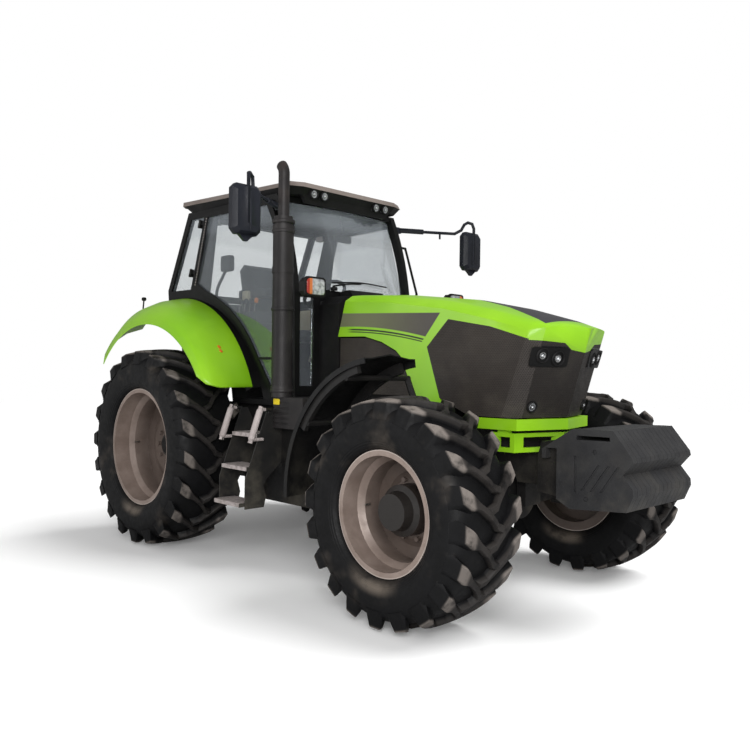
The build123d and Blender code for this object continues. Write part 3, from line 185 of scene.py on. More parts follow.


# the hood's side band with a painted highlight on its rear part, the pin lines under it and the wedge on top;
# lengths run forward from the rear axle
hoodMarks = {"side": 0.30, "edge": 0.006, "top": 2.072, "topFall": 0.040, "foot": 1.890, "footBend": 0.12,
             "footFrom": 1.72, "rear": 1.70, "front": 2.618, "frontLean": 0.84, "frontHeight": 1.788,
             "glareFade": (1.9, 2.75), "lines": ((0.014, 0.026), (0.034, 0.042)), "lineEdge": 0.003,
             "lineRear": (1.78, 1.86), "lineFront": (0, 0.01), "wedgeTip": 2.697, "wedgeSpread": 0.38,
             "wedgeEnds": (2.69, 3.53), "wedgeFloor": 1.80}


def hoodPaint(m):
    f = Finish("hoodLeafGreen")
    s = f.x - rearAxle
    side = abs(f.y) > m["side"]
    top = m["top"] - m["topFall"] * s - f.z          # distance under the band's upper edge
    bend = s - m["footFrom"]
    foot = f.z - m["foot"] + bend * bend * m["footBend"]
    ahead = m["front"] + (f.z - m["frontHeight"]) * m["frontLean"] - s
    stripe = side * top.rise(0, m["edge"]) * foot.rise(0, m["edge"]) * ahead.rise(0, m["edge"])
    stripe = stripe * (s > m["rear"])
    # painted highlight: the band's rear part is lighter and greener, fading forward to the band's own dark
    # grey
    colour = f.mix(stripe, leafColour(f), f.mix(s.rise(*m["glareFade"]), paint["stripeGlare"], paint["stripe"]))
    gap = -foot
    lines = sum(gap.band(low, high, m["lineEdge"]) for low, high in m["lines"])
    lines = side * lines * s.rise(*m["lineRear"]) * ahead.rise(*m["lineFront"])
    colour = f.mix(lines, colour, paint["line"])
    rear, front = m["wedgeEnds"]
    wedge = ((s - m["wedgeTip"]) * m["wedgeSpread"] - abs(f.y)).rise(0, m["edge"])
    wedge = wedge * (s > rear) * (s < front) * (f.z > m["wedgeFloor"])
    colour = f.mix(wedge, colour, paint["dark"])
    dark = (wedge + stripe + lines).least(1)
    rough = f.noise(5, 4).rise(0.25, 0.8) * 0.12 + 0.32 + dark * 0.22
    return f.surface(colour, rough, orangePeel(f) + dark * f.cells(420) * 0.6, paint["peel"],
                     Coat_Weight=paint["coat"], Coat_Roughness=paint["coatRough"])


# the front tone is painted shade laid on the faces that look forward
grilleMesh = {"pitch": 0.013, "row": 0.866, "hole": (0.24, 0.36), "base": tone(60, 54, 49),
              "patch": tone(50, 45, 42), "front": tone(30, 29, 29), "inside": tone(22, 20, 19),
              "browHeight": (1.590, 1.722), "browSides": (0.150, 0.415), "browEdge": 0.004,
              "brow": tone(16, 16, 18)}


def meshPanel(m):
    # holes in rows shifted by half a pitch, laid on the side or on the front by the way the face looks
    f = Finish("brownMesh")
    normal = f.node("TexCoord", out="Normal")
    nx, ny = (f.node("SeparateXYZ", inputs={0: normal}, out=n) for n in (0, 1))
    front = (abs(nx) - abs(ny)).rise(-0.1, 0.1)
    u = (f.y + (f.x - f.y) * (1 - front)) / m["pitch"]
    v = f.z / (m["row"] * m["pitch"])
    du = (u + (v.floor() % 2) * 0.5) % 1 - 0.5
    dv = (v % 1 - 0.5) * m["row"]
    # a smooth dark brow round the head lamps
    inner, outer = m["browSides"]
    brow = front * f.z.band(*m["browHeight"], m["browEdge"]) * (abs(f.y) > inner) * (abs(f.y) < outer)
    inside = (1 - (du * du + dv * dv).root().rise(*m["hole"])) * (1 - brow)
    colour = f.mix(f.noise(2.5, 4).rise(0.3, 0.7), m["base"], m["patch"])
    # painted shade: faces that look forward are darker than the sides
    colour = f.mix(front * 0.45, colour, m["front"])
    colour = f.mix(inside * 0.7, colour, m["inside"])
    colour = f.mix(brow, colour, m["brow"])
    colour = f.mix(grime(f, 0.9, 2.1) * 0.12, colour, paint["dust"])
    rough = f.noise(14, 3).rise(0.2, 0.8) * 0.15 + 0.5 - brow * 0.28
    return f.surface(colour, rough, 1 - inside, 0.002, Specular_IOR_Level=0.35)


def plastic(name, base, second, rough=0.5, grain=520):
    f = Finish(name)
    colour = f.mix(f.noise(4, 5, 0.6).rise(0.3, 0.72), base, second)
    colour = f.mix(grime(f, 0.3, 1.2) * 0.2, colour, paint["dust"])
    scratch = f.noise(60, 3, 0.7, f.stretched(1, 6, 1)).rise(0.66, 0.74)
    rough = f.noise(12, 4).rise(0.2, 0.8) * 0.16 + rough - scratch * 0.08
    return f.surface(colour, rough, f.cells(grain) * 0.7 + f.noise(20, 3) * 0.3, 0.0005,
                     Specular_IOR_Level=0.26)


stepMarks = {"treads": ((0.498, 0.532), (0.768, 0.802), (1.018, 1.052)), "treadEdge": 0.001,
             "treadEnds": (1.051, 1.389), "gripEnds": (1.0388, 1.4012), "gripFoot": 0.985, "gripOut": 0.935,
             "ridges": 520, "plate": (tone(22, 22, 22), tone(32, 31, 30)),
             "wearAndHighlight": (tone(186, 176, 174), tone(140, 131, 128))}


def stepPaint(m):
    # black side plates with pale worn treads and pale padded grips
    f = Finish("stepPaint")
    s = f.x - rearAxle
    rear, front = m["treadEnds"]
    tread = sum(f.z.band(low, high, m["treadEdge"]) for low, high in m["treads"]) * (s > rear) * (s < front)
    rear, front = m["gripEnds"]
    grip = ((s < rear) + (s > front)) * (f.z > m["gripFoot"]) * (abs(f.y) > m["gripOut"])
    colour = f.mix(f.noise(5, 4).rise(0.3, 0.7), *m["plate"])
    wearAndHighlight = f.mix(f.noise(30, 5, 0.65).rise(0.35, 0.7), *m["wearAndHighlight"])
    colour = f.mix((tread + grip).least(1), colour, wearAndHighlight)
    colour = f.mix(grime(f, 0.3, 1.3) * 0.3, colour, paint["dust"])
    ridges = (s * m["ridges"]).sin() * tread
    return f.surface(colour, f.noise(18, 4) * 0.2 + 0.45, ridges * 0.5 + f.noise(90, 3) * 0.3, 0.0016)


def castIron(name, base, second, shine=0.1):
    f = Finish(name)
    colour = f.mix(f.noise(7, 6, 0.62).rise(0.3, 0.7), base, second)
    rust = f.noise(26, 5, 0.7).rise(0.66, 0.80)
    colour = f.mix(rust * 0.18, colour, tone(80, 58, 42))
    colour = f.mix(grime(f, 0.3, 1.3) * 0.22, colour, paint["dust"])
    pits = f.cells(150) * 0.5 + f.noise(70, 4, 0.6) * 0.5
    return f.surface(colour, f.noise(15, 4) * 0.25 + 0.42, pits, 0.0014, Metallic=shine,
                     Specular_IOR_Level=0.4)


# in metres: the shade from the disc out, the lip over the tyre's seat, the hub's edge and how far out it is
rimMarks = {"shade": (-0.06, 0.16), "lip": (0.017, 0.022), "hubEdge": 0.004, "hubOut": -0.051,
            "barrel": (tone(158, 142, 133), tone(132, 116, 107)), "paintedShade": tone(62, 53, 48),
            "wearAndHighlight": tone(206, 194, 186), "streak": tone(104, 90, 80), "hub": tone(40, 37, 35)}


def rimPaint(name, w, m):
    # painted shade towards the disc, a painted highlight on the lip, streaks round the barrel
    f = Finish(name)
    r = f.radius(w["x"], w["z"])
    inner, outer = (w["halfTrack"] + shift for shift in m["shade"])
    # painted shade: the barrel darkens from the outside in towards the disc
    paintedShade = 1 - abs(f.y).rise(inner, outer)
    colour = f.mix(f.noise(5, 5, 0.6).rise(0.3, 0.72), *m["barrel"])
    colour = f.mix(paintedShade * 0.72, colour, m["paintedShade"])
    # painted highlight: a bright ring round the lip over the tyre's seat
    low, high = (w["seat"] + step for step in m["lip"])
    colour = f.mix(r.rise(low, high) * 0.6, colour, m["wearAndHighlight"])
    streak = f.noise(34, 4, 0.65, f.stretched(1, 0.2, 1)).rise(0.6, 0.75)
    colour = f.mix(streak * 0.25, colour, m["streak"])
    hub = 1 - r.rise(w["hub"] - m["hubEdge"], w["hub"] + m["hubEdge"])
    colour = f.mix(hub * (abs(f.y) > w["halfTrack"] + m["hubOut"]), colour, m["hub"])
    rough = f.noise(18, 4).rise(0.2, 0.8) * 0.2 + 0.35
    return f.surface(colour, rough, f.noise(120, 3, 0.5), 0.0005, Metallic=0.2)


# depths under the lugs' tips, heights over the rim's seat, shares of the width, and a dusty spot on the wall
rubberMarks = {"tips": (0.040, 0.022), "pads": (0.30, 0.36), "wall": (0.11, 0.07), "spot": 0.03,
               "spotEdge": (0.05, 0.24), "smear": (0.045, 0.105), "smearEdge": 0.03, "ribs": (0.045, 0.085),
               "ribEdge": 0.006, "ribCount": 420, "base": (tone(5, 5, 6), tone(13, 13, 15)),
               "wearAndHighlight": tone(132, 124, 118), "dust": tone(128, 117, 106)}


def tyreRubber(name, w, m):
    f = Finish(name)
    r = f.radius(w["x"], w["z"])
    out, seat = w["radius"], w["seat"]
    cloud = f.noise(6, 5, 0.65)
    colour = f.mix(cloud.rise(0.3, 0.75), *m["base"])
    aside = abs(abs(f.y) - w["halfTrack"])
    tips = r.rise(out - m["tips"][0], out - m["tips"][1]) * f.noise(9, 4, 0.6).rise(0.25, 0.55)
    pads = aside.rise(m["pads"][0] * w["width"], m["pads"][1] * w["width"])
    colour = f.mix(tips * (0.10 + pads * 0.62), colour, m["wearAndHighlight"])
    # dust rubbed on the wall under the rim
    low = (1 - abs(f.x - w["x"] + m["spot"]).rise(*m["spotEdge"])) * (f.z < w["z"])
    smear = low * r.band(seat + m["smear"][0], seat + m["smear"][1], m["smearEdge"])
    smear = smear * f.noise(4, 4, 0.6).rise(0.3, 0.6)
    wall = (1 - r.rise(out - m["wall"][0], out - m["wall"][1])) * f.noise(2.3, 4, 0.6).rise(0.55, 0.75)
    colour = f.mix((wall * 0.22 + smear * 0.6).least(1), colour, m["dust"])
    ribs = (r * m["ribCount"]).sin() * r.band(seat + m["ribs"][0], seat + m["ribs"][1], m["ribEdge"]) * 0.5
    height = ribs + f.noise(160, 3, 0.6) * 0.35 + cloud * 0.4
    rough = f.noise(22, 4).rise(0.2, 0.8) * 0.2 + 0.5
    return f.surface(colour, rough, height, 0.0016, Specular_IOR_Level=0.24)


pane = {"tint": tone(253, 254, 254), "dust": tone(206, 214, 224), "shine": tone(240, 244, 248),
        "dustLine": (1.3, 2.0), "shadeLine": (2.72, 2.80), "shade": 0.07, "index": 1.45, "gloss": 0.4,
        "rough": 0.03}


def windowGlass(p):
    # clear sheet: what passes through is tinted, what comes back grows towards the edge of sight
    f = Finish("windowGlass")
    edge = f.node("Fresnel", inputs={0: p["index"]})
    film = f.noise(3, 4).rise(0.45, 0.8) * 0.02 + (1 - f.z.rise(*p["dustLine"])) * 0.03 + 0.045
    streak = f.noise(60, 3, 0.6, f.stretched(1, 1, 0.2)).rise(0.7, 0.85) * 0.02
    band = f.z.rise(*p["shadeLine"]) * p["shade"]
    clear = f.node("BsdfTransparent", inputs={0: p["tint"]})
    dust = f.node("BsdfDiffuse", inputs={0: p["dust"]})
    shine = f.node("BsdfGlossy", inputs={0: p["shine"], "Roughness": p["rough"]})
    sheet = f.node("MixShader", inputs={0: (film + streak + band).least(1), 1: clear, 2: dust})
    whole = f.node("MixShader", inputs={0: edge * p["gloss"], 1: sheet, 2: shine})
    f.node("OutputMaterial", inputs={0: whole})
    return f.material


def flutes(finish, pitch):               # crossed ribs pressed in a lens
    return (finish.y * pitch).sin() * 0.5 + (finish.z * pitch).sin() * 0.5


def lampLens(name, base, second, shine=0.5):
    f = Finish(name)
    colour = f.mix(f.noise(30, 3).rise(0.3, 0.7), base, second)
    return f.surface(colour, f.noise(60, 2) * 0.08 + 0.06, flutes(f, 700), 0.0006, Metallic=shine,
                     Coat_Weight=0.8, Coat_Roughness=0.03)


def fabric(name, base, thread, pitch):
    # warp and weft: two sine waves that take turns on top
    f = Finish(name)
    a = ((f.x + f.y) * (math.pi / pitch)).sin()
    b = ((f.z + f.x - f.y) * (math.pi / pitch)).sin()
    weave = abs(a) * 0.5 + abs(b) * 0.5
    colour = f.mix(weave.rise(0.2, 0.9) * 0.5, base, thread)
    colour = f.mix(f.noise(8, 4).rise(0.45, 0.8) * 0.3, colour, tone(52, 54, 56))
    return f.surface(colour, f.noise(200, 2) * 0.1 + 0.82, weave + f.noise(40, 3) * 0.3, 0.0006,
                     Sheen_Weight=0.15)


# the silencer's place, its clamp bands as (height, radius), its perforated part, where it is hot, the bolts,
# and the profile of a band as (added radius, along)
silencer = {"x": 1.462, "y": -0.814,
            "bands": ((2.700, 0.086), (2.625, 0.0865), (2.020, 0.086), (1.385, 0.087)),
            "holesAround": 36, "pitch": 0.0125, "hole": (0.24, 0.34), "mesh": (1.42, 2.60), "meshEdge": 0.01,
            "hot": (2.7, 3.1), "bolt": ((0.030, 0.012, 0.022), 0.3), "boltShift": (-0.060, 0.068, 0),
            "band": ((-0.010, -0.014), (0, -0.014), (0.003, -0.009), (0.003, 0.009), (0, 0.014),
                     (-0.010, 0.014)), "bandSides": 48}


def perforatedShield(m):
    # round holes in rows round the silencer, cooling slots left plain
    f = Finish("silencerShield")
    turn = (f.y - m["y"]).arctan(f.x - m["x"] - rearAxle)
    u = turn * (m["holesAround"] / math.tau)
    v = f.z / m["pitch"]
    du = (u + (v.floor() % 2) * 0.5) % 1 - 0.5
    dv = v % 1 - 0.5
    inside = (1 - (du * du + dv * dv).root().rise(*m["hole"])) * f.z.band(*m["mesh"], m["meshEdge"])
    colour = f.mix(f.noise(6, 4).rise(0.3, 0.7), tone(34, 32, 33), tone(46, 43, 43))
    colour = f.mix(inside * 0.6, colour, tone(18, 18, 18))
    heat = f.z.rise(*m["hot"]) * f.noise(9, 4).rise(0.4, 0.7)
    colour = f.mix(heat * 0.25, colour, tone(84, 70, 62))
    return f.surface(colour, f.noise(15, 4) * 0.2 + 0.42, 1 - inside, 0.0016, Metallic=0.2,
                     Specular_IOR_Level=0.4)


def steel(name, base, second, rough):
    f = Finish(name)
    colour = f.mix(f.noise(20, 5, 0.6).rise(0.3, 0.7), base, second)
    brushed = f.noise(80, 3, 0.6, f.stretched(1, 1, 8))
    return f.surface(colour, brushed * 0.15 + rough, brushed, 0.0002, Metallic=0.9)


def mirrorGlass():
    f = Finish("mirrorGlass")
    colour = f.mix(f.noise(5, 3).rise(0.3, 0.7), tone(206, 212, 218), tone(188, 196, 204))
    rough = f.noise(40, 3).rise(0.6, 0.8) * 0.06 + 0.02
    return f.surface(colour, rough, f.noise(3, 1), 0.0002, Metallic=1.0)


def platePaint(name, base, second):      # a plain coloured plate with nothing written on it
    f = Finish(name)
    colour = f.mix(f.noise(26, 4, 0.6).rise(0.3, 0.75), base, second)
    return f.surface(colour, f.noise(30, 3) * 0.2 + 0.35, f.noise(150, 2), 0.0003)


# in metres: the axle's place, the tyre's radius and width, the rim's seat and width, the lugs' height, half
# the track and the hub's radius
wheelPlaces = {
    "rear": {"x": rearAxle, "z": 0.8596, "radius": 0.860, "width": 0.600, "seat": 0.4826, "rim": 0.457,
             "lug": 0.050, "halfTrack": 1.010, "hub": 0.150},
    "front": {"x": frontAxle, "z": 0.6998, "radius": 0.700, "width": 0.540, "seat": 0.3556, "rim": 0.406,
              "lug": 0.046, "halfTrack": 1.045, "hub": 0.160},
}

black = plastic("blackPlastic", tone(13, 13, 14), tone(22, 21, 21))
fenderBlack = plastic("fenderBlack", tone(10, 10, 11), tone(18, 18, 18), rough=0.34)
mirrorBlack = plastic("mirrorBlack", tone(27, 29, 36), tone(35, 37, 44), rough=0.36)
frameBlack = plastic("frameBlack", tone(9, 9, 10), tone(16, 16, 16), rough=0.4, grain=300)
roofGrey = plastic("roofGrey", tone(128, 118, 113), tone(116, 106, 101), rough=0.45)
cabinGrey = plastic("cabinGrey", tone(52, 53, 54), tone(42, 43, 44))
darkCast = castIron("darkCasting", tone(19, 19, 19), tone(30, 28, 27))
weightIron = castIron("weightIron", tone(38, 38, 40), tone(48, 48, 49), 0.05)
clearLens = lampLens("lampLens", tone(206, 208, 210), tone(160, 164, 168))
shieldMesh = perforatedShield(silencer)

coats = [                                # each finish and the parts that carry it
    (darkCast, ("transmission", "engine", "front_frame", "front_axle", "knuckle_left", "knuckle_right",
                "drawbar", "lower_links", "lift_rods", "lift_arms")),
    (black, ("cab_mounts", "roof_fascia", "steering_wheel", "cowl", "fuel_tank", "side_box", "pillar_lamps")),
    (fenderBlack, ("front_fender_left", "front_fender_right")),
    (mirrorBlack, ("mirrors",)),
    (frameBlack, ("cab_frame", "cab_floor", "wheel_arches", "seat_base", "grab_rail", "door_left",
                  "door_right")),
    (stepPaint(stepMarks), ("steps",)),
    (windowGlass(pane), ("cab_windows", "door_left_glass", "door_right_glass")),
    (roofGrey, ("roof_cap",)),
    (clearLens, ("roof_lamps", "head_lamps")),
    (cabinGrey, ("dashboard", "console")),
    (fenderPaint(), ("rear_fenders", "bumper")),
    (hoodPaint(hoodMarks), ("hood_cover",)),
    (meshPanel(grilleMesh), ("grille", "engine_shields")),
    (weightIron, ("weights",)),
    (shieldMesh, ("exhaust", "aftertreatment"))]
coats += [(rimPaint(axle + "RimPaint", w, rimMarks), (axle + "_rim_left", axle + "_rim_right"))
          for axle, w in wheelPlaces.items()]
for finish, parts in coats:
    for part in parts:
        nodes[part].data.materials.clear()
        nodes[part].data.materials.append(finish)
print("finishes put on the frame's parts")


def meshObject(name, points, faces, material):
    mesh = bpy.data.meshes.new(name)
    mesh.from_pydata(points.reshape(-1, 3).tolist(), [], faces.tolist())
    mesh.update()
    mesh.shade_smooth()
    thing = bpy.data.objects.new(name, mesh)
    bpy.context.scene.collection.objects.link(thing)
    mesh.materials.append(material)
    return thing


def gridFaces(rows, columns, closeRows=False, closeColumns=False):
    # quads between neighbours on a grid of rows x columns points
    i = np.arange(rows if closeRows else rows - 1)[:, None]
    j = np.arange(columns if closeColumns else columns - 1)[None, :]
    a, b = i * columns + j, i * columns + (j + 1) % columns
    c, d = ((i + 1) % rows) * columns + (j + 1) % columns, ((i + 1) % rows) * columns + j
    return np.stack([a, b, c, d], -1).reshape(-1, 4)


def smoothEdges(thing, angle):
    # smooth shading with creases kept where faces meet at more than the angle
    thing.data.shade_smooth()
    thing.data.set_sharp_from_angle(angle=math.radians(angle))


def faceOut(thing):
    work = bmesh.new()
    work.from_mesh(thing.data)
    bmesh.ops.remove_doubles(work, verts=work.verts, dist=1e-6)
    bmesh.ops.recalc_face_normals(work, faces=work.faces)
    work.to_mesh(thing.data)
    work.free()


# sweep, start and crease in degrees, lengths in metres; shoulder and footOut are shares of the tyre's width,
# padFrom and padOver of the way out to the shoulder
tyreTread = {"lugs": 20, "sweep": 17.0, "shoulder": 0.462, "barWidth": 0.060, "padWidth": 0.134,
             "padFrom": 0.52, "padOver": 0.26, "rows": 15, "pastMiddle": 0.055, "pastBend": 1.10,
             "bendPower": 0.78, "crestFall": 0.024, "fallPower": 2.2, "sink": 0.008, "footDrop": 0.135,
             "footOut": 0.493, "noseDrop": 0.010, "noseOut": 0.022, "start": 180.0, "crease": 32}
# faces round and over the case, powers of its superellipse, and heights over the rim's seat in metres
tyreCase = {"around": 160, "across": 41, "wallRows": 9, "crownPower": 3.4, "roundness": 2.6, "wallPower": 0.8,
            "wallStart": 0.025, "wallEnd": 0.030, "bead": 0.002, "rimGap": 0.001}


def carcassRadius(w, share):
    # superellipse: flat across the tread, bulging walls; share is the offset over half the width
    crown = w["radius"] - w["lug"]
    middle = 0.5 * (w["seat"] + tyreCase["wallStart"] + crown)
    bulge = np.clip(1 - np.abs(share) ** tyreCase["crownPower"], 0, 1) ** (1 / tyreCase["roundness"])
    return middle + (crown - middle) * bulge


def tyreBody(w, t):
    # a closed profile of walls, tread and bead seat turned round the axle
    middle = 0.5 * (w["seat"] + t["wallStart"] + w["radius"] - w["lug"])
    bead = w["rim"] / 2 - t["rimGap"]
    top = np.sin(np.linspace(-math.pi / 2, math.pi / 2, t["across"]))
    upper = np.stack([top * w["width"] / 2, carcassRadius(w, top)], -1)
    drop = np.linspace(0, 1, t["wallRows"])[1:] * math.pi / 2
    wallY = bead + (w["width"] / 2 - bead) * np.cos(drop) ** t["wallPower"]
    wallR = middle + (w["seat"] + t["wallEnd"] - middle) * np.sin(drop)
    right = np.stack([wallY, wallR], -1)
    inside = np.array([[bead, 0], [0, 0], [-bead, 0]]) + (0, w["seat"] + t["bead"])
    profile = np.concatenate([upper, right, inside, right[::-1] * (-1, 1)])
    turn = np.linspace(0, math.tau, t["around"], endpoint=False)[:, None]
    across, r = profile[:, 0], profile[:, 1]
    points = np.stack([r * np.sin(turn), across + 0 * turn, r * np.cos(turn)], -1)
    return points.reshape(-1, 3), gridFaces(len(turn), len(profile), True, True)


# corners of a lug's section: half width as a share, height as a share
lugSection = np.array([(-1.0, 0.0), (-0.80, 0.72), (-0.70, 0.94), (-0.60, 1.0), (0.60, 1.0), (0.70, 0.94),
                       (0.80, 0.72), (1.0, 0.0)])


def tyreLug(w, side, t):
    # a tapered bar that follows a curve on the tread: rows run from the middle to the shoulder and over its
    # edge, and the bend falls from the sweep to nothing as a power of the way out
    reach = w["width"] * t["shoulder"]
    y = np.concatenate([[-t["pastMiddle"]], np.linspace(0, 1, t["rows"]) * reach])
    out = np.abs(y / reach)
    sweep = math.radians(t["sweep"])
    bend = sweep * (1 - out ** t["bendPower"])
    bend[0] = sweep * t["pastBend"]
    crest = w["radius"] - t["crestFall"] * out ** t["fallPower"]
    base = carcassRadius(w, y / (w["width"] / 2)) - t["sink"]
    pad = np.clip((out - t["padFrom"]) / t["padOver"], 0, 1)
    wide = t["barWidth"] + (t["padWidth"] - t["barWidth"]) * pad * pad * (3 - 2 * pad)
    half = 0.5 * wide[:, None] * lugSection[None, :, 0]
    r = base[:, None] + (crest - base)[:, None] * lugSection[None, :, 1]
    turn = math.radians(t["start"]) - sweep + bend[:, None] + half / r

    def row(radius, angle, across):
        return np.stack([radius * np.sin(angle), side * (across + 0 * radius), radius * np.cos(angle)], -1)
    # the ends lean like the real block's: the first row dives in, the last goes down the wall
    nose = row(np.minimum(r[:1], carcassRadius(w, 0) - t["noseDrop"]), turn[:1], y[0] - t["noseOut"])
    foot = row(np.minimum(r[-1:], w["radius"] - t["footDrop"]), turn[-1:], t["footOut"] * w["width"])
    points = np.concatenate([nose, row(r, turn, y[:, None]), foot])
    return points, gridFaces(len(points), len(lugSection), False, True)


def addTyre(axle, hand, w, t):
    # the lugs of each half are copies of one, turned round the axle, half a step apart from side to side
    side = 1 if hand == "left" else -1
    points, faces = tyreBody(w, tyreCase)
    allPoints, allFaces, count = [points], [faces], len(points)
    for half, shift in ((1, 0.0), (-1, 0.5)):
        lug, lugFaces = tyreLug(w, half, t)
        turns = (np.arange(t["lugs"]) + shift) * math.tau / t["lugs"]
        c, s = np.cos(turns)[:, None, None], np.sin(turns)[:, None, None]
        x, y, z = lug[None, ..., 0], lug[None, ..., 1], lug[None, ..., 2]
        ring = np.stack([x * c + z * s, y + 0 * c, z * c - x * s], -1).reshape(-1, 3)
        each = len(ring) // len(turns)
        starts = (np.arange(len(turns)) * each)[:, None, None]
        allPoints.append(ring)
        allFaces.append((lugFaces[None] + starts + count).reshape(-1, 4))
        count += len(ring)
    points = np.concatenate(allPoints) * (1, side, 1) + (w["x"], side * w["halfTrack"], w["z"])
    thing = meshObject(axle + "_tyre_tread_" + hand, points, np.concatenate(allFaces), rubber[axle])
    faceOut(thing)
    smoothEdges(thing, t["crease"])
    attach(thing, axle + "_wheel_" + hand)
    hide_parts(axle + "_tyre_" + hand)


rubber = {axle: tyreRubber(axle + "Rubber", w, rubberMarks) for axle, w in wheelPlaces.items()}
for axle, w in wheelPlaces.items():
    for hand in ("left", "right"):
        addTyre(axle, hand, w, tyreTread)
print("tyres moulded")


# pressure blows a pad up for some steps; no point moves further than cap
seatPads = {"seat_cushion": {"pressure": 4.0, "cap": 0.022, "voxel": 0.012, "fill": 0.75},
            "seat_back": {"pressure": 4.0, "cap": 0.024, "voxel": 0.012, "fill": 0.7}}
padding = {"shrink": 0.95, "steps": 20, "quality": 4, "inset": 0.0005, "proud": (0.004, 0.004, 0.008)}
seatCloth = fabric("seatCloth", tone(34, 36, 38), tone(50, 52, 54), 0.006)


def vertexPlaces(mesh):
    places = np.zeros(len(mesh.vertices) * 3)
    mesh.vertices.foreach_get("co", places)
    return places.reshape(-1, 3)


def padFrom(node, p, q):
    # the part's block, a little shrunk, in even faces that pressure swells back to the part's size
    low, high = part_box(node)
    middle = (low + high) / 2
    mesh = nodes[node].data.copy()
    thing = bpy.data.objects.new(node + "_pad", mesh)
    bpy.context.scene.collection.objects.link(thing)
    work = bmesh.new()
    work.from_mesh(mesh)
    bmesh.ops.remove_doubles(work, verts=work.verts, dist=1e-5)
    bmesh.ops.scale(work, verts=work.verts, vec=Vector((1, 1, 1)) * q["shrink"],
                    space=Matrix.Translation(-Vector(middle)))
    work.to_mesh(mesh)
    work.free()
    bpy.context.view_layer.objects.active = thing
    remesh = thing.modifiers.new("remesh", "REMESH")
    remesh.mode, remesh.voxel_size = "VOXEL", p["voxel"]
    bpy.context.view_layer.update()
    graph = bpy.context.evaluated_depsgraph_get()
    even = bpy.data.meshes.new_from_object(thing.evaluated_get(graph))
    thing.modifiers.clear()
    thing.data = even
    start = vertexPlaces(even)
    blown = start.copy()
    cloth = thing.modifiers.new("cloth", "CLOTH")
    cloth.settings.use_pressure = True
    cloth.settings.uniform_pressure_force = p["pressure"]
    cloth.settings.effector_weights.gravity = 0
    cloth.settings.quality = q["quality"]
    cloth.point_cache.frame_start, cloth.point_cache.frame_end = 1, q["steps"]
    for step in range(1, q["steps"] + 1):
        bpy.context.scene.frame_set(step)
    graph = bpy.context.evaluated_depsgraph_get()
    blown = vertexPlaces(thing.evaluated_get(graph).to_mesh())
    thing.modifiers.clear()
    bpy.context.scene.frame_set(1)
    move = blown - start
    far = np.linalg.norm(move, axis=1, keepdims=True)
    points = start + move * np.minimum(1, p["cap"] / np.maximum(far, 1e-9))
    points = np.clip(points, np.array(low) + q["inset"], np.array(high) + q["proud"])
    even.vertices.foreach_set("co", points.ravel())
    even.update()
    even.materials.clear()
    even.materials.append(seatCloth)
    even.shade_smooth()
    finer = thing.modifiers.new("finer", "SUBSURF")
    finer.levels = finer.render_levels = 1
    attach(thing, "chassis")
    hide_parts(node)


for node, p in seatPads.items():
    padFrom(node, p, padding)
print("seat padded")


# merge in metres, angles in degrees: flatter edges are dissolved, gentle ones rounded with some rows of faces
softening = {"merge": 2e-5, "flat": 0.6, "gentle": 3, "steep": 60, "rows": 3, "profile": 0.5}


def softCopy(node, name, body, slot, angle, width, s):
    # the part's own faces, joined at their corners, with gentle creases shaded round
    mesh = nodes[node].data.copy()
    thing = bpy.data.objects.new(name, mesh)
    bpy.context.scene.collection.objects.link(thing)
    work = bmesh.new()
    work.from_mesh(mesh)
    bmesh.ops.remove_doubles(work, verts=work.verts, dist=s["merge"])
    bmesh.ops.dissolve_limit(work, angle_limit=math.radians(s["flat"]), verts=work.verts, edges=work.edges)
    if width > 0:
        gentle, steep = math.radians(s["gentle"]), math.radians(s["steep"])
        soft = [edge for edge in work.edges if len(edge.link_faces) == 2 and
                gentle < edge.calc_face_angle(0) < steep and edge.calc_length() > 3 * width]
        bmesh.ops.bevel(work, geom=soft, offset=width, segments=s["rows"], profile=s["profile"],
                        affect="EDGES", clamp_overlap=True)
    work.to_mesh(mesh)
    work.free()
    smoothEdges(thing, angle)
    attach(thing, body)
    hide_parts(node)


# part, name of its smooth copy, body, slot, crease angle in degrees, width of the rounding
softPanels = (("hood_cover", "hood_skin", "hood", "cover_green", 40, 0.0),
              ("rear_fenders", "rear_fender_skins", "chassis", "cover_green", 40, 0.0),
              ("mirrors", "mirror_housings", "chassis", "black_plastic", 50, 0.006),
              ("front_fender_left", "front_fender_skin_left", "steer_left", "black_plastic", 40, 0.0),
              ("front_fender_right", "front_fender_skin_right", "steer_right", "black_plastic", 40, 0.0))
for panel in softPanels:
    softCopy(*panel, softening)
print("panels smoothed")


def turned(profile, around=36):
    # a profile of (radius, along) turned about the z axis; it closes on itself unless it starts on the axis
    profile = np.array(profile, float)
    turn = np.linspace(0, math.tau, around, endpoint=False)[:, None]
    r, a = profile[None, :, 0], profile[None, :, 1]
    points = np.stack([r * np.cos(turn), r * np.sin(turn), a + 0 * turn], -1)
    return points.reshape(-1, 3), gridFaces(around, len(profile), True, bool(profile[0, 0] > 0))


def rounded(size, square, around=32, up=15):
    # superellipsoid: sine and cosine raised to the power of square, 1 for a ball, less for a box
    u = np.linspace(0, math.tau, around, endpoint=False)[:, None]
    v = np.linspace(-math.pi / 2, math.pi / 2, up)[None, :]

    def power(w):
        return np.where(np.abs(w) < 1e-9, 0, np.sign(w) * np.abs(w) ** square)
    points = np.stack([power(np.cos(v)) * power(np.cos(u)), power(np.cos(v)) * power(np.sin(u)),
                       power(np.sin(v)) + 0 * u], -1) * np.array(size) / 2
    return points.reshape(-1, 3), gridFaces(around, up, True)


